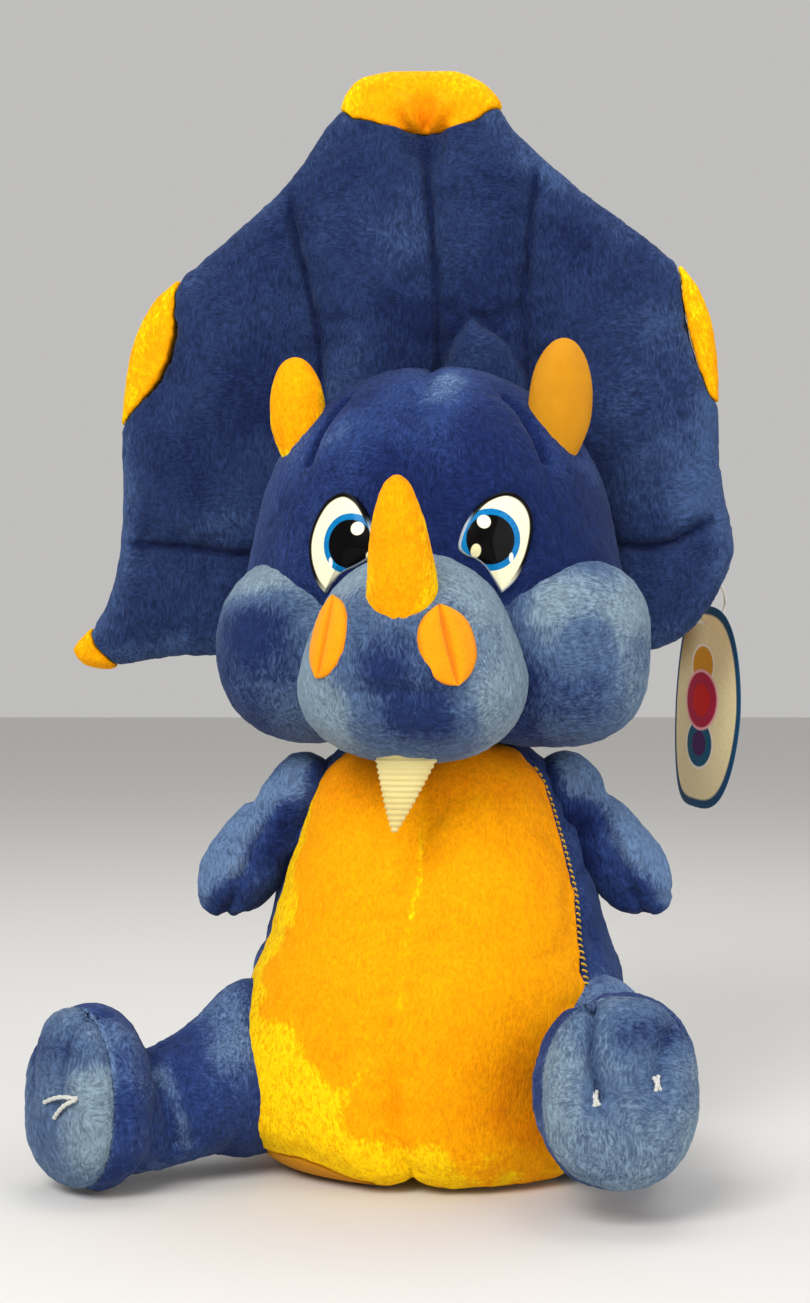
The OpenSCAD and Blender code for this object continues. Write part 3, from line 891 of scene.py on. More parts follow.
HORN_SLITS = [[(31, -27, 53), (37, -31, 47), (43, -36, 37), (47, -39, 28)],
              [(-31, -27, 53), (-37, -34, 44), (-41, -39, 36), (-43, -42, 28)]]
CROWN_SEAM = [(-1, 20, 66), (-1, -5, 68), (-1, -21, 64), (-1, -40, 52), (-1, -50, 40),
              (-2, -57, 28), (-4, -60, 20), (-6, -62, 0)]
CROWN_BACK_SEAM = [(0, 25, 64), (0, 50, 36), (0, 62, 0), (0, 52, -36)]


def crown_relief(p):
    raised = groove(p, CROWN_SEAM, (1.3, 0.9), (7, 0.7))
    raised = raised + groove(p, CROWN_BACK_SEAM, (1.4, 1.2))
    for slit in HORN_SLITS:
        raised = raised + groove(p, slit, (1.6, 4), (6, 1.2))
    return raised


def crown_nap_and_shading(p):
    x, y, z = p.T
    along_seam = 0.35 * hump(x, 8, 9) * ramp(z, 15, 55) * ramp(y, 0, -30)
    forehead = -0.2 * ramp(z, 40, 10)
    # painted shade in the slits where the brow horns go in
    slit_shade = sum(hump(line_distance(p, np.array(slit, float)), 0, 1.8) for slit in HORN_SLITS)
    return along_seam + forehead - 1.2 * slit_shade - 0.12


def right_cheek_form(p):
    return egg(p, (-45, -21, -42), (38.5, 35, 38), 2.2) + 0.6 * noise(p, 26, 7)


def left_cheek_form(p):
    return egg(p, (46, -21, -44), (41, 35, 37), 2.7) + 0.6 * noise(p, 26, 8)


def cheek_relief(p):
    side = np.sign(p[:, 0])
    seam = np.abs(p[:, 1] + 14 + 0.1 * side)
    return -1.1 * hump(seam, 0, 1.6) - 1.0 * hump(seam, 0, 8)


def right_cheek_nap_and_shading(p):
    x, _, z = p.T
    # Painted light: lighter on top and at the outer rim. Painted shade: darker towards the snout.
    rim = ramp(z, -34, -12) * ramp(x, -30, -70)
    return 0.7 * rim + 0.4 * ramp(z, -34, -10) - 0.14 - 0.35 * ramp(x, -45, -25)


def left_cheek_nap_and_shading(p):
    x, _, z = p.T
    # Painted light: lighter on top, with a painted sheen at the outer edge. Painted shade: darker
    # towards the snout. dark_patch is a darker spot on the side.
    upper = ramp(z, -52, -24) * ramp(x, 30, 52)
    edge = ramp(x, 66, 80)
    dark_patch = -0.35 * hump(x, 64, 10) * hump(z, -36, 6)
    return 0.45 * upper + 0.35 * edge + dark_patch - 0.45 * ramp(x, 52, 34) - 0.16


def snout_form(p):
    bridge = egg(p, (0, -64, -43), (37, 41, 36))
    jowls = egg(p, (0, -66, -58), (42.5, 38, 27.5), 2.1)
    return join(bridge, jowls, 12) + 0.7 * noise(p, 24, 9)


MOUTH = smooth_line([(-25, -94, -63), (-21, -97, -59), (-10, -103, -57.5), (1, -104, -58.5),
                     (11, -103, -59), (22, -97, -60)])
CHIN_SEAM = [(-3, -105, -58), (-3, -102, -66), (-3, -95, -73), (-4, -82, -81)]


def snout_relief(p):
    x, _, z = p.T
    lips = 1.4 * hump(z, -52, 5) * hump(x, 0, 24)
    raised = lips - 2.8 * np.exp(-line_distance(p, MOUTH) / 1.4) + groove(p, MOUTH, (5, 1.2))
    return raised + groove(p, CHIN_SEAM, (1.3, 1.0), (5, 0.7))


def snout_nap_and_shading(p):
    x, _, z = p.T
    # Painted light: lighter on top, with a painted sheen at the sides. Painted shade: darker below
    # the mouth and under the nose horn.
    sides = ramp(np.abs(x), 14, 36)
    top = ramp(z, -38, -14)
    dark = hump(x, 12, 13) * hump(z, -68, 12) + 0.6 * hump(x, -6, 9) * hump(z, -50, 9)
    return 0.4 * sides + 0.45 * top - 0.4 * dark + 0.14


stuffed_piece("crown", crown_form, (-80, -72, -76), (80, 70, 76), "head", BLUE,
              ["head_skin", "head_stuffing"], 0.85, step=1.5, relief=crown_relief,
              pale=crown_nap_and_shading, seed=6, held=lambda p: (np.abs(p[:, 0]) < 2.5) | (p[:, 2] < -20))
for word, form, low_x, high_x, nap_and_shading, seed in (
        ("right", right_cheek_form, -90, 0, right_cheek_nap_and_shading, 7),
        ("left", left_cheek_form, 0, 92, left_cheek_nap_and_shading, 8)):
    stuffed_piece("cheek_" + word + "_pad", form, (low_x, -70, -86), (high_x, 26, 2), "head",
                  PALE, ["cheek_" + word], 0.85, relief=cheek_relief, pale=nap_and_shading, seed=seed)
stuffed_piece("snout", snout_form, (-46, -110, -92), (46, -12, 0), "head", PALE,
              ["snout_skin", "chin_panel"], 0.85, step=1.2, relief=snout_relief, pale=snout_nap_and_shading,
              seed=9)

# ------------------------ horns

def horn(name, place, profile, flat, lean, seed, material, nap_at, rough=1.0):
    """A stuffed horn turned around its own axis. flat squashes it from front to back, lean bends
    it sideways and rough is how uneven its cloth is."""
    profile = smooth_line(profile, steps=10)
    rings, naps = [], []
    angles = np.linspace(0, 2 * np.pi, 112, endpoint=False)
    out = np.stack([np.cos(angles), np.sin(angles), 0 * angles], 1)
    front_seam = -0.5 * hump(angles, 1.5 * np.pi, 0.07)
    for height, radius in profile:
        ring = out * (radius, flat * radius, 0) + (lean * (height / 50) ** 2, 0, height)
        fuzz = 0.12 * noise(ring, 2.4, seed) + 0.4 * noise(ring, 9, seed + 1)
        raised = rough * (fuzz + front_seam) * min(radius / 4, 1)
        rings.append(ring + out * raised[:, None])
        naps.append(np.clip(nap_at(ring) + 0.3 * noise(ring, 9, seed + 2), 0, 1))
    ring_piece(name, rings, "head", material, [name + "_skin", name + "_stuffing"], 0.9,
               {"nap_and_shading": naps}, place=place)


NOSE_PROFILE = [(-7, 6), (-3, 10.5), (3, 12.6), (12, 12.8), (22, 11.9), (34, 10), (44, 7.6),
                (51, 4.8), (54.5, 1.6)]
BROW_PROFILE = [(-6, 2.5), (1, 6), (8, 9.4), (17, 12), (27, 12.2), (35, 10.8), (41.5, 8),
                (45.5, 4.6), (47, 1.4)]
horn("nose_horn", NOSE_HORN, NOSE_PROFILE, 0.95, 0.6, 31, GOLD,
     lambda p: 0.45 + 0.5 * ramp(np.abs(p[:, 0]), 4, 11) - 0.15 * ramp(p[:, 2], 0, 30))
horn("brow_horn_right", brow_horn_place(RIGHT) @ Matrix.Diagonal((0.9, 1, 0.93, 1)),
     BROW_PROFILE, 0.8, 0, 32, GOLD,
     lambda p: 0.3 + 0.9 * ramp(p[:, 2], 14, 4) + 0.5 * ramp(np.abs(p[:, 0]), 7, 12))
# The toy's left brow horn is the same velour as the right one; its darker smooth golden cloth is a
# painted shade.
horn("brow_horn_left", brow_horn_place(LEFT) @ Matrix.Diagonal((1, 1, 1.05, 1)),
     BROW_PROFILE, 0.8, 0, 33, DULL_GOLD_AND_SHADE, lambda p: 0 * p[:, 0], 0.35)

# ------------------------ nostrils and tooth

LEAF_DEPTH = 1.5
LEAF_FOLD = 0.04


def nostril(word, centre, half_length, half_width, lean):
    """A leaf of felt pressed on the snout, folded along its middle"""
    u, v = np.meshgrid(np.linspace(-1, 1, 61), np.linspace(-1, 1, 41), indexing="ij")
    width = half_width * np.maximum(1 - np.abs(u) ** 2.6, 0) ** 0.62
    lean = math.radians(lean)
    side, up = width * v, half_length * u
    x = centre[0] + side * math.cos(lean) - up * math.sin(lean)
    z = centre[1] + side * math.sin(lean) + up * math.cos(lean)
    start = np.stack([x.ravel(), np.full(x.size, -118.0), z.ravel()], 1)
    for _ in range(24):
        start[:, 1] += np.clip(snout_form(start), -4, 4) * 0.8
    flat = v.ravel()
    fold = hump(flat, LEAF_FOLD, 0.1)
    height = 1.6 * (1 - np.abs(flat) ** 6) + 0.7 * hump(np.abs(flat), 0.35, 0.3)
    height = height - 1.5 * fold * (1 - np.abs(u.ravel()) ** 4)
    out = slope(snout_form, start)
    out /= np.linalg.norm(out, axis=1)[:, None]
    top = start + out * (height + 0.12 * noise(start, 1.6, 41))[:, None]
    bottom = start - out * LEAF_DEPTH
    rows, columns = u.shape
    spot = np.arange(rows * columns).reshape(rows, columns)
    quads = np.stack([spot[:-1, :-1], spot[1:, :-1], spot[1:, 1:], spot[:-1, 1:]], -1)
    quads = quads.reshape(-1, 4)
    under = quads[:, ::-1] + rows * columns
    rim = np.concatenate([spot[0, :], spot[1:, -1], spot[-1, -2::-1], spot[-2:0:-1, 0]])
    after = np.roll(rim, -1)
    wall = np.stack([rim, rim + rows * columns, after + rows * columns, after], 1)
    # Painted shade along the fold. The leaf is also darker towards its rim.
    darker = 0.45 * fold + 0.4 * ramp(np.abs(flat), 0.8, 1)
    make_piece("nostril_" + word + "_patch", np.vstack([top, bottom]),
               np.vstack([quads, under, wall]), "head", FELT, ["nostril_" + word],
               marks={"nap_and_shading": np.concatenate([darker, darker])})


nostril("left", (17, -42), 14.5, 9.6, 14)
nostril("right", (-27, -39), 14.8, 7.6, -8)

TOOTH_ROOT = 3
TOOTH_LENGTH = 29
TOOTH_RIB = 2.1
TOOTH_HALF_WIDTH = 11.6
TOOTH_HALF_DEPTH = 3.4
tooth_angles = np.linspace(0, 2 * np.pi, 96, endpoint=False)
tooth_rings = []
for share in np.linspace(0, 1, 150):
    height = TOOTH_ROOT - share * TOOTH_LENGTH
    rib = 0.32 * math.cos(2 * math.pi * height / TOOTH_RIB)
    half_width = TOOTH_HALF_WIDTH * (1 - share) ** 0.85 + 0.5 + rib
    half_depth = TOOTH_HALF_DEPTH * (1 - share) ** 0.6 + 0.3 + rib
    tooth_rings.append(np.column_stack([half_width * np.cos(tooth_angles) - 4.6 * share,
                                        -half_depth * np.sin(tooth_angles) - 2 * share,
                                        0 * tooth_angles + height]))
ring_piece("tooth_pad", tooth_rings, "tooth", CREAM, ["tooth"], 0.6)

# ------------------------ eyes

LENS_RIM = 1.15
LENS_DOME = 2.6
IRIS_RADIUS = 11.6
PUPIL_RADIUS = 9.2
EYE_PRINT_SOFTNESS = 0.18
EYE_STEPS = 9


def eye_material(name, glint, wedge, streak):
    """Printed eye under a clear gloss: pupil, blue ring, cream white and a black lash line"""
    material, tree, shader = new_material(name, 0.35, specular=0.04)
    shader.inputs["Coat Weight"].default_value = 0.08
    shader.inputs["Coat Roughness"].default_value = 0.03
    flecks = stretch(tree, object_noise(tree, 900, 2), 0.35, 0.65)
    colour = mix_colour(tree, flecks, srgb(250, 244, 208), srgb(244, 238, 198))
    ring = mix_colour(tree, flecks, srgb(12, 124, 186), srgb(8, 108, 170))
    for centre, radius, flatness, ink in (
            ((0, 0), IRIS_RADIUS, 1, ring),
            ((0, 0), PUPIL_RADIUS, 1, srgb(4, 3, 3)),
            (glint, 2.5, 1, srgb(250, 246, 216)),
            (wedge, 1.9, 0.75, srgb(236, 228, 178)),
            (streak, 0.9, 0.5, srgb(240, 240, 228))):
        inside = round_print(tree, centre, radius, EYE_PRINT_SOFTNESS, (1, flatness, 1))
        colour = mix_colour(tree, inside, colour, ink)
    edge = add(tree, "SeparateXYZ", {0: mark(tree, "edge", "Vector")})
    outward, lashed = edge.outputs[0], edge.outputs[1]
    lash = math_node(tree, "MULTIPLY", stretch(tree, outward, 0.9, 0.94), lashed)
    colour = mix_colour(tree, lash, colour, srgb(10, 9, 10))
    pale_rim = math_node(tree, "MULTIPLY", stretch(tree, outward, 0.955, 0.985),
                         math_node(tree, "SUBTRACT", 1.0, lashed))
    colour = mix_colour(tree, pale_rim, colour, srgb(176, 184, 190))
    paint(tree, shader, colour)
    return material


# The first point of each eye's outline is given twice, which makes a corner of it
LEFT_EYE = [(3.3, -22.8), (3.3, -22.8), (7.2, -19.4), (10.2, -15.3), (13.2, -8.5), (15, 0),
            (14.4, 6.8), (11, 12), (5.5, 14.2), (-0.9, 12.4), (-5.8, 8.6), (-10.2, 2.7),
            (-12.6, -3.4), (-12.8, -7), (-10.4, -9.2), (-6.7, -10.6), (-2.9, -13.6),
            (0.2, -18)]
RIGHT_EYE = [(-5.2, -22.6), (-5.2, -22.6), (-1.4, -18.6), (2.8, -15.2), (9.3, -12.5),
             (14.2, -9.8), (15.8, -6.4), (15.2, -1), (12.4, 6), (8.4, 11.6), (2.8, 14.3),
             (-3.9, 11.6), (-9.2, 4.6), (-11.9, -3.4), (-11.6, -11.4), (-8.8, -18.6)]


def eye(side, word, outline, pupil, glint, wedge, streak):
    """A domed lens with its print around the pupil"""
    outline = smooth_line(outline, closed=True, steps=EYE_STEPS)[EYE_STEPS:]
    gaps = outline - np.array(pupil)
    angle = np.degrees(np.arctan2(gaps[:, 1], gaps[:, 0] * side))
    lash = ramp(angle, -75, -35) * ramp(angle, 150, 118)
    rings, spots, edges = [], [], []
    levels = [(0.97, -5.0), (1.02, -0.2), (1.015, 0.7), (0.99, LENS_RIM)]
    levels += [(r, LENS_RIM + LENS_DOME * (1 - r ** 2)) for r in np.linspace(0.97, 0.03, 44)]
    for share, height in levels:
        flat = share * gaps
        rings.append(np.column_stack([pupil + flat, 0 * lash + height]))
        spots.append(np.column_stack([flat, 0 * lash]))
        edges.append(np.column_stack([0 * lash + share, lash, 0 * lash]))
    material = eye_material("eye_" + word + "_print", glint, wedge, streak)
    ring_piece("eye_" + word + "_lens", rings, "head", material,
               ["eye_" + word, "eye_washer_" + word], marks={"spot": spots, "edge": edges},
               place=eye_place(side), slot="eye_plastic")


eye(LEFT, "left", LEFT_EYE, (-1.7, -3.5), (-2.6, 6.6), (-5.6, -4.2), (8.0, -6.6))
eye(RIGHT, "right", RIGHT_EYE, (7.2, -5.0), (3.2, 5.8), (8.0, -5.2), (-8.4, -6.6))

# ------------------------ frill

FRILL_OUTLINE = smooth_line([
    (-35, 181), (-42, 173), (-57, 152), (-78, 133), (-104, 112), (-115, 102), (-124, 83),
    (-128, 51), (-128, 28), (-129, 3), (-133, -18), (-139, -31), (-148, -41), (-149, -44),
    (-145, -49), (-136, -51), (-125, -49), (-105, -46), (-70, -46), (-30, -46), (20, -46),
    (70, -46), (96, -43), (110, -35), (120, -22), (127, -6), (127, 4), (124, 18), (122, 32),
    (121, 58), (120, 78), (117, 94), (109, 110), (90, 127), (65, 146), (44, 165), (35, 175),
    (31, 184), (24, 191), (14, 195.5), (0, 196.5), (-14, 196.5), (-26, 194), (-32, 188)],
    closed=True, steps=5)
FRILL_SEAMS = [
    [(0.5, 171), (3, 142), (5.5, 117), (7, 88), (8, 60)],
    [(-57, 152), (-55, 139), (-50, 118), (-45, 97), (-43, 85), (-41, 60)],
    [(48, 161), (46, 141), (44, 116), (42.5, 96), (43, 88), (45, 62)],
    [(-128, 1.6), (-115, 0.6), (-97, -0.7), (-82, -2.9), (-60, -5)],
    [(70, -1), (80, -0.8), (92, -1.5), (103, 0.8), (114, 6.8), (126, 16)],
]
# A loose fold that stands up behind the crown, and the crease above it
FRILL_FOLD = smooth_line([
    (8, 48), (8.5, 64), (11, 79), (16, 88), (20.5, 94.5), (26, 91), (36, 81), (45, 67), (46, 48)],
    closed=True, steps=4)
FRILL_CREASE = [(4, 140), (12, 129), (18, 117), (20, 100), (21, 93)]
TOP_PATCH = smooth_line([
    (-50, 182), (-35, 181), (-28, 177), (-17, 174), (-9, 172), (1, 170.5), (12, 171.4),
    (22, 174.6), (31, 180), (50, 184), (50, 210), (0, 215), (-50, 210)], closed=True, steps=4)
RIGHT_PATCH = smooth_line([
    (-104, 116), (-104.5, 105), (-104.8, 98), (-104.8, 90), (-108, 77), (-114, 66), (-122, 58),
    (-130, 50), (-150, 50), (-150, 120), (-120, 125)], closed=True, steps=4)
LEFT_PATCH = smooth_line([
    (105.5, 118), (106.5, 106), (107.5, 97), (110, 84), (114.5, 69), (121, 57), (140, 57),
    (140, 118), (120, 126)], closed=True, steps=4)
RIGHT_TIP = smooth_line([
    (-143, -30), (-141, -37), (-138.5, -42), (-134, -47), (-130, -53), (-140, -62), (-160, -55),
    (-160, -35)], closed=True, steps=4)
PLAN_X = np.arange(-166, 146, 1.0)
PLAN_Y = np.arange(-66, 216, 1.0)
PLAN = np.stack(np.meshgrid(PLAN_X, PLAN_Y, indexing="ij"), -1).reshape(-1, 2)


def plan_of(values):
    return np.asarray(values).reshape(len(PLAN_X), len(PLAN_Y))


def read_plan(plan, p):
    """Value of a flat map at each point, by its X and Y"""
    x = np.clip(p[:, 0] - PLAN_X[0], 0, len(PLAN_X) - 2.001)
    y = np.clip(p[:, 1] - PLAN_Y[0], 0, len(PLAN_Y) - 2.001)
    i, j = x.astype(int), y.astype(int)
    s, t = x - i, y - j
    return ((1 - s) * (1 - t) * plan[i, j] + s * (1 - t) * plan[i + 1, j]
            + (1 - s) * t * plan[i, j + 1] + s * t * plan[i + 1, j + 1])


frill_edge_plan = plan_of(outline_distance(PLAN, FRILL_OUTLINE))
frill_seam_plan = plan_of(np.min([line_distance(PLAN, smooth_line(s)) for s in FRILL_SEAMS], 0))
fold_plan = plan_of(outline_distance(PLAN, FRILL_FOLD))
crease_plan = plan_of(line_distance(PLAN, smooth_line(FRILL_CREASE)))
patch_plans = {name: plan_of(outline_distance(PLAN, outline)) for name, outline in (
    ("top", TOP_PATCH), ("right", RIGHT_PATCH), ("left", LEFT_PATCH), ("tip", RIGHT_TIP))}
FRILL_MIDDLE = 8
FRILL_ROUNDING = 7.5
DEEPEST_SEAM = 5.5
FLAP_MIDDLE = -5.5
FLAP_ROUNDING = 3.6
FLAP_OUTLINE = smooth_line([(125, -4), (118, -16), (95, -40), (88, -14), (85, 4), (90, 10),
                            (108, 4)], closed=True, steps=4)
# The point where the top patch is caught down, and how far apart the folds above it fan out
PLEAT_POINT = (1.5, 166)
PLEAT_ANGLE = 27


def frill_front_relief(p):
    """Folds on the frill's front, in millimetres towards the viewer"""
    fold = read_plan(fold_plan, p)
    raised = 4.5 * ramp(-fold, -1, 6) - 1.2 * np.exp(-np.abs(fold) / 1.6)
    raised = raised - 1.6 * np.exp(-read_plan(crease_plan, p) / 2.5)
    x, y = p[:, 0] - PLEAT_POINT[0], p[:, 1] - PLEAT_POINT[1]
    reach = np.hypot(x, y)
    fan = np.degrees(np.arctan2(x, y))
    pleats = -np.cos(np.radians(fan * 180 / PLEAT_ANGLE)) * ramp(np.abs(fan), 80, 60)
    raised = raised + 2.6 * pleats * ramp(reach, 2, 9) * ramp(reach, 27, 15)
    return raised - 4.5 * hump(reach, 3, 6)


def frill_form(p):
    """A flat cushion with rounded edges, drawn in along its sewn lines"""
    edge = read_plan(frill_edge_plan, p)
    seam = read_plan(frill_seam_plan, p)
    flat = p * np.array([1, 1, 0])
    inner = ramp(-edge, 2, 15)
    plump = 2.2 * ramp(-edge, 4, 22) + 1.5 * noise(flat, 34, 11) + 0.5 * noise(flat, 13, 19)
    plump = plump - inner * (4.6 * np.exp(-seam / 1.7) + 1.8 * hump(seam, 0, 9))
    plump = plump + 0.6 * noise(flat, 7, 12) * hump(seam, 5, 6)
    front = ramp(p[:, 2], FRILL_MIDDLE - 1, FRILL_MIDDLE + 2)
    plump = plump + front * inner * frill_front_relief(p)
    lift = np.abs(p[:, 2] - FRILL_MIDDLE) - np.maximum(plump, -DEEPEST_SEAM)
    inset = edge + FRILL_ROUNDING
    outside = np.hypot(np.maximum(inset, 0), np.maximum(lift, 0))
    return outside - FRILL_ROUNDING + np.minimum(np.maximum(inset, lift), 0)


def patch_region(name, p):
    teeth = 0.35 * noise(p * np.array([1, 1, 0.2]), 2.6, 14)
    return read_plan(patch_plans[name], p) + teeth


def all_patches(p):
    return np.min([patch_region(name, p) for name in patch_plans], 0)


def frill_half_form(side):
    """The blue cloth in front of the middle with side 1, and behind it with side -1"""
    def form(p):
        blue = meet(frill_form(p), 0.3 - all_patches(p), 2.2)
        return meet(blue, side * (FRILL_MIDDLE - p[:, 2]), 1.2)
    return form


def frill_patch_form(name):
    return lambda p: meet(frill_form(p) - 0.5, patch_region(name, p), 2.2)


def frill_nap_and_shading(p):
    x, y, _ = p.T
    edge = read_plan(frill_edge_plan, p)
    # painted sheen: lighter near the rounded edges
    rim = 0.35 * ramp(-edge, 14, 3)
    upper_left = 0.35 * ramp(x, 55, 90) * ramp(y, 120, 60) * ramp(y, -6, 30)
    low_band = 0.5 * hump(x, 116, 12) * hump(y, 22, 10)
    left_low = 0.4 * hump(x, -85, 20) * hump(y, 8, 9)
    # painted shade along the drawn-in seams
    sewn = 0.8 * hump(read_plan(frill_seam_plan, p), 0, 1.5) * ramp(-edge, 2, 10)
    # painted light on the loose fold behind the crown
    fold_light = 0.35 * ramp(-read_plan(fold_plan, p), 0, 3)
    return rim + upper_left + low_band + left_low + fold_light - sewn - 0.05


def patch_nap_and_shading(p):
    # Painted sheen: lighter near the frill's rounded edge. Painted shade: darker over the pleats
    # above the point where the top patch is caught down.
    edge = ramp(-read_plan(frill_edge_plan, p), 14, 2)
    over_pleats = (PLEAT_POINT[0], PLEAT_POINT[1] + 10)
    pleats = 0.9 * hump(np.linalg.norm(p[:, :2] - over_pleats, axis=1), 0, 9)
    return 0.35 * edge - pleats - 0.05


def frill_held(p):
    sewn = read_plan(frill_seam_plan, p) < 2.5
    return sewn | (read_plan(frill_edge_plan, p) > -9) | (p[:, 2] < FRILL_MIDDLE + 3)


FRILL_LOW = (-160, -62, -6)
FRILL_HIGH = (140, 208, 26)
stuffed_piece("frill_front_pad", frill_half_form(1), FRILL_LOW, FRILL_HIGH, "frill", BLUE_FRILL,
              ["frill_front", "frill_batting"], 0.6, step=1.5, pale=frill_nap_and_shading, seed=12,
              held=frill_held, slot="blue_plush")
stuffed_piece("frill_back_pad", frill_half_form(-1), FRILL_LOW, FRILL_HIGH, "frill", BLUE_FRILL,
              ["frill_back_panel"], 0.6, step=1.8, pale=frill_nap_and_shading, seed=13, slot="blue_plush")
for patch, low, high, node in (
        ("top", (-56, 160, -6), (56, 208, 26), "frill_top_patch"),
        ("right", (-140, 40, -6), (-96, 124, 26), "frill_side_patch_right"),
        ("left", (96, 46, -6), (136, 126, 26), "frill_side_patch_left"),
        ("tip", (-158, -60, -6), (-122, -24, 26), "frill_tip_right")):
    stuffed_piece("frill_" + patch + "_gold", frill_patch_form(patch), low, high, "frill", GOLD,
                  [node], 0.6, step=1.1, pile=0.14, seed=15, pale=patch_nap_and_shading)


def flap_form(p):
    """The left tip, folded flat behind the frill"""
    inset = outline_distance(p[:, :2], FLAP_OUTLINE) + FLAP_ROUNDING
    lift = np.abs(p[:, 2] - FLAP_MIDDLE) - 1.2 - 1.2 * noise(p, 16, 17)
    return np.hypot(np.maximum(inset, 0), np.maximum(lift, 0)) - FLAP_ROUNDING


stuffed_piece("frill_left_tip_gold", flap_form, (78, -50, -16), (134, 18, 4), "frill", GOLD,
              ["frill_tip_left"], 0.4, step=1.3, pile=0.14, seed=16)

# ------------------------ arms

def arm_form(side):
    def form(p):
        root = ball(p, (side * -1, 0, -1), 13.5)
        paddle = egg(p, (side * -0.5, 0, 31), (15.2, 13, 31.5), 2.2)
        return join(root, paddle, 9) + 0.9 * noise(p, 15, 18 + side)
    return form


def arm_relief(side):
    seam = smooth_line([(-side * 7, -14, -6), (-side * 5, -14, 10), (-side * 1.5, -13.5, 28),
                        (side * 1.5, -12, 42), (side * 5, -7, 54), (side * 5.5, 2, 61)])

    def relief(p):
        back = seam * np.array([1, -1, 1])
        return (groove(p, seam, (1.5, 1.7), (5, 1.0)) + groove(p, back, (1.5, 1.5))
                + groove(p, seam[-12:], (3.2, 1.4)))
    return relief


def arm_held(p):
    return (np.abs(p[:, 0]) < 2.4) | (p[:, 2] < 2)


def arm_nap(side):
    def nap_and_shading(p):
        outer = 0.75 * ramp(-side * p[:, 0], -4, 9)
        return outer + 0.1 * ramp(p[:, 2], 35, 55) - 0.24 + 0.25 * noise(p, 13, 61)
    return nap_and_shading


for side, word in SIDES:
    arm = "arm_" + word
    stuffed_piece(arm + "_pad", arm_form(side), (-20, -18, -20), (20, 18, 68), arm, BLUE,
                  [arm + "_skin", arm + "_stuffing"], step=1.1, relief=arm_relief(side),
                  pale=arm_nap(side), seed=20 + side, held=arm_held)

# ------------------------ legs
# In a leg's frame Z runs along the leg, X points down and +Y is the toy's left of a leg that
# points ahead.

SOLE_AT = 82
FOOT_MIDDLE = 80.5
FOOT_HALF = (34.2, 28.4, 17)
FOOT_BACK = 25
FOOT_POWER = 2.3


def in_foot(p, side):
    """Points of a leg's frame, seen in its foot's frame"""
    return moved(p, ankle_bend(side).inverted())


def foot_form(p):
    """A fat round foot that narrows quickly to the ankle"""
    x, y, z = p.T
    z = z - FOOT_MIDDLE
    squeezed = np.column_stack([x, y, np.where(z < 0, z * FOOT_HALF[2] / FOOT_BACK, z)])
    return egg(squeezed, (0, 0, 0), FOOT_HALF, FOOT_POWER)


def over_foot(*flat_points):
    """Points of the sole's surface over flat ones"""
    flat = np.array(flat_points, float)
    left = 1 - ((np.abs(flat) / FOOT_HALF[:2]) ** FOOT_POWER).sum(1)
    height = FOOT_HALF[2] * np.maximum(left, 0) ** (1 / FOOT_POWER)
    return np.column_stack([flat, FOOT_MIDDLE + height])


def left_leg_form(p):
    root = egg(p, (-4, 0, 6), (37, 27, 30))
    shank = tube(p, (2, 0, 10), (4, 0, 64), 25.5, 22)
    return join(join(root, shank, 12), foot_form(p), 6) + 1.0 * noise(p, 22, 22)


def right_leg_form(p):
    root = egg(p, (-5, -10, 12), (33, 13, 26))
    shank = tube(p, (3, -8, 22), (7.5, -1, 60), 25, 23.5)
    foot = foot_form(in_foot(p, RIGHT))
    return join(join(root, shank, 14), foot, 6) + 1.0 * noise(p, 22, 23)


def toe_lines(p, side):
    """Drawn-in lines between the toes, in the foot's frame"""
    p = p * np.array([1, side, 1])
    inner = np.vstack([[(-32, -11, 70)], over_foot((-31, -11), (-26, -11.5), (-20, -12.5),
                                                   (-12, -12.5), (-6, -11.5), (1, -10))])
    outer = over_foot((-22, 20), (-19, 17), (-15, 15), (-9, 12.5), (-4, 11))
    inner, outer = smooth_line(inner), smooth_line(outer)
    depth = 1 if side == LEFT else 0.45
    total = depth * groove(p, inner, (1.6, 3.4), (6, 2.6)) + groove(p, outer, (2.4, 1.4), (7, 2.2))
    return total - 1.4 * np.exp(-np.abs(p[:, 2] - SOLE_AT) / 1.8)


LEG_FORMS = {LEFT: left_leg_form, RIGHT: right_leg_form}


def leg_side_form(side):
    return lambda p: meet(LEG_FORMS[side](p), in_foot(p, side)[:, 2] - SOLE_AT - 0.8, 0.5)


def sole_form(side):
    """The sole in its foot's frame, on the same round form as the leg's side"""
    def form(p):
        whole = LEG_FORMS[side](moved(p, ankle_bend(side)))
        return meet(whole, SOLE_AT - 0.8 - p[:, 2], 0.5)
    return form


ANKLE_FOLDS = [smooth_line(fold) for fold in (
    [(-16, -14, 53), (-17, 0, 53), (-14, 12, 53), (-6, 18, 51), (8, 22, 48), (20, 18, 46)],
    [(-12, 15, 46), (-3, 19, 43), (9, 21, 40), (19, 18, 38)])]
LEG_SEAM = [(-28, 0, -20), (-24, 0, 20), (-18, 0, 48), (-30, 0, 62), (-34, 0, 82)]


def ankle_relief(p, side):
    first, second = ANKLE_FOLDS
    folds = groove(p, first, (2.6, 3.2), (8, 1.8)) + groove(p, second, (2.0, 2.4), (5, 1.0))
    return folds + groove(p, LEG_SEAM, (1.4, 1.0)) + toe_lines(in_foot(p, side), side)


def sole_nap_and_shading(p, side):
    x, y = p[:, 0], side * p[:, 1]
    # painted shade in the drawn-in lines between the toes
    lines = 0.07 * toe_lines(p, side)
    upper = 0.45 * hump(x, -21, 8) * (ramp(y, -8, 0) if side == LEFT else 1)
    return 0.3 + 0.1 * ramp(x, 5, 25) - upper + lines


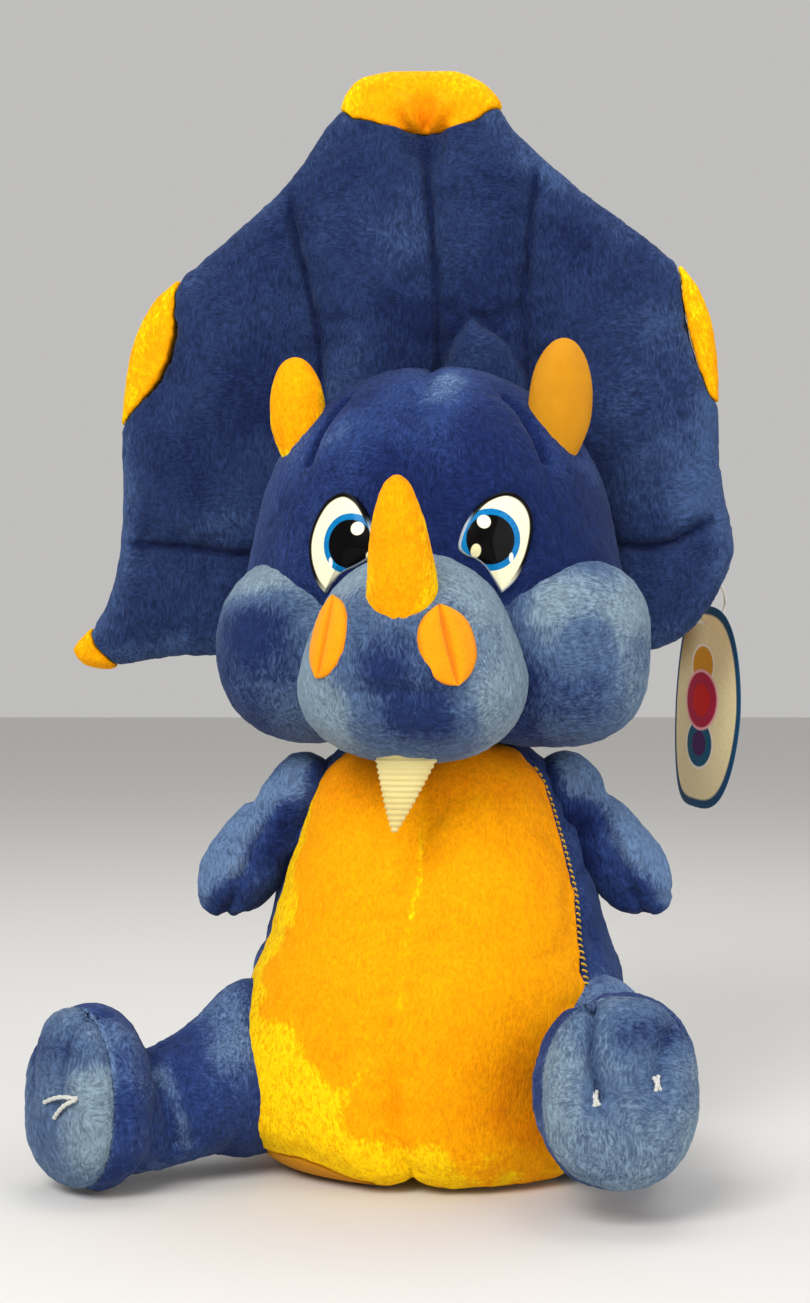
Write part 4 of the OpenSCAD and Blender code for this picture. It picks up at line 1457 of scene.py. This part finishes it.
def leg_nap_and_shading(p, side):
    x, _, z = p.T
    seam = 0.35 * hump(in_foot(p, side)[:, 2], SOLE_AT, 1.6)
    thigh = 0.3 * hump(z, 24, 14) * ramp(x, 4, -16)
    # painted highlight along the lower ankle fold
    fold = 0.3 * hump(line_distance(p, ANKLE_FOLDS[1] + np.array([0, 0, 4])), 0, 3)
    foot = 0.14 * ramp(z, 50, 60)
    return 0.08 + seam + thigh + fold - foot


LEG_LOW = (-44, -40, -34)
LEG_HIGH = (44, 46, 104)
for side, word in SIDES:
    leg = "leg_" + word
    skin = stuffed_piece(
        leg + "_pad", leg_side_form(side), LEG_LOW, LEG_HIGH, None, BLUE,
        [leg + "_skin", leg + "_stuffing"], step=1.3, relief=lambda p: ankle_relief(p, side),
        pale=lambda p: leg_nap_and_shading(p, side), seed=24 + side, place=leg_place(side),
        held=lambda p: (p[:, 2] < 4) | (in_foot(p, side)[:, 2] > SOLE_AT - 6))
    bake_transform(skin)
    stuffed_piece(
        leg + "_sole_pad", sole_form(side), (-44, -40, 74), LEG_HIGH, leg, PALE,
        [leg + "_sole"], step=1.1, relief=lambda p: toe_lines(p, side),
        pale=lambda p: sole_nap_and_shading(p, side), seed=26 + side, slot="blue_plush",
        place=foot_place(side))


def on_foot(x, y, above, side=LEFT):
    """A point over the sole's surface, in the foot's frame"""
    top = over_foot((x, y))
    return (x, y, top[0, 2] + toe_lines(top, side)[0] + above)


def knot(x, y):
    """A short tuft of thread pulled through the sole"""
    return [thread([on_foot(x - dx, y - dy, -0.3), on_foot(x, y, 1.4),
                    on_foot(x + dx, y + dy, -0.2)], 0.75)
            for dx, dy in ((2.6, -0.8), (2.2, 1.1), (-2.2, 0.6))]


left_threads = knot(2, -10.5) + knot(-3, 11)
right_threads = [
    thread([on_foot(x, y, above, RIGHT) for x, y, above in path], 0.8) for path in (
        ((-4, 21, 0.2), (-4, 15, 1.2), (-2.5, 9, 1.4), (-0.5, 4, 0.4)),
        ((-3.5, 20.5, 0.4), (-1.5, 17, 1.2), (1.5, 13, 1.2), (4.5, 9.5, 0.4)))]
for (side, word), threads in zip(SIDES, (left_threads, right_threads)):
    leg = "leg_" + word
    join_rings(leg + "_threads", threads, leg, THREAD, [leg + "_toe_stitches"],
               place=foot_place(side))

# ------------------------ label and hang tag

LABEL_LOW = 103.2
LABEL_HIGH = 110.8
LABEL_ROOT = 57.5
LABEL_LENGTH = 8.6
label_rings = []
for share in np.linspace(0, 1, 24):
    out = LABEL_ROOT + LABEL_LENGTH * share
    half = 0.35 + 0.55 * math.sin(math.pi * min(1, 1.1 * share))
    sway = 24.1 + 0.9 * math.sin(2.6 * share)
    label_rings.append([(out, sway - half, LABEL_LOW), (out, sway + half, LABEL_LOW),
                        (out, sway + half, LABEL_HIGH), (out, sway - half, LABEL_HIGH)])
ring_piece("seam_label_tape", label_rings, "body", TAPE, ["seam_label"])

DOT_SOFTNESS = 0.3


def card_material():
    """Cream card with three plain dots, a painted shadow at one end and a blue edge"""
    material, tree, shader = new_material("tag_card", 0.5, specular=0.08)
    shader.inputs["Coat Weight"].default_value = 0.06
    shader.inputs["Coat Roughness"].default_value = 0.2
    fibre = stretch(tree, object_noise(tree, 700, 3), 0.3, 0.7)
    colour = mix_colour(tree, fibre, srgb(250, 230, 178), srgb(244, 220, 164))
    # painted shadow over the upper left of the card, which curls away
    shade = round_print(tree, (-24, 34), 16, 12)
    colour = mix_colour(tree, shade, colour, srgb(150, 112, 50))
    for up, radius, ink in (
            (18, 9.4, srgb(250, 236, 210)),
            (18, 8.2, srgb(226, 150, 20)),
            (-16, 11.2, srgb(250, 236, 210)),
            (-16, 10, srgb(6, 84, 112)),
            (-16, 5.5, srgb(70, 14, 84)),
            (3, 13.2, srgb(250, 176, 176)),
            (3, 12, srgb(186, 20, 60)),
            (3, 7, srgb(216, 20, 12))):
        dot = round_print(tree, (0, up), radius, DOT_SOFTNESS)
        colour = mix_colour(tree, dot, colour, ink)
    edge = stretch(tree, mark(tree, "edge"), 0.9, 0.93)
    paint(tree, shader, mix_colour(tree, edge, colour, srgb(24, 70, 104)))
    return material


CARD_RIGHT, CARD_LEFT, CARD_HALF_HEIGHT = 28.8, 24.5, 43.8
CARD_MIDDLE = 36
CARD_HANG = math.radians(-5)
CARD_HALF_THICKNESS = 0.4
CARD_CURL = 5.5
CARD_CURL_START = 12


def card_outline():
    """A long oval card, wide in the middle and nearly pointed at its ends"""
    points = []
    for angle in np.linspace(0, 2 * np.pi, 96, endpoint=False):
        across, up = math.cos(angle), math.sin(angle)
        x = CARD_RIGHT * across ** 0.68 if across > 0 else -CARD_LEFT * abs(across) ** 0.5
        points.append((x, CARD_HALF_HEIGHT * np.sign(up) * abs(up) ** 1.15))
    return np.array(points)


def bent_card(flat, height):
    """The card hangs a little askew, with its left part curled away from the viewer"""
    curl = 1.0 - CARD_CURL * (np.maximum(CARD_CURL_START - flat[:, 0], 0) / 41) ** 2
    x, y = flat[:, 0], flat[:, 1] - CARD_MIDDLE
    return np.column_stack([x * math.cos(CARD_HANG) - y * math.sin(CARD_HANG),
                            CARD_MIDDLE + x * math.sin(CARD_HANG) + y * math.cos(CARD_HANG),
                            curl + height])


card_rings, card_spots, card_edges = [], [], []
card_levels = [(r, CARD_HALF_THICKNESS) for r in np.linspace(0.02, 0.985, 30)]
card_levels += [(1, 0.2), (1, -0.2)]
card_levels += [(r, -CARD_HALF_THICKNESS) for r in np.linspace(0.985, 0.02, 12)]
for share, height in card_levels:
    flat = share * card_outline()
    card_rings.append(bent_card(flat, height))
    card_spots.append(np.column_stack([flat, 0 * flat[:, 0]]))
    card_edges.append(0 * flat[:, 0] + share)
ring_piece("tag_card_print", card_rings[::-1], "tag", card_material(), ["tag_card"],
           marks={"spot": card_spots[::-1], "edge": card_edges[::-1]})

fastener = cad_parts["tag_fastener"]
fastener.data.materials.clear()
fastener.data.materials.append(CLEAR)
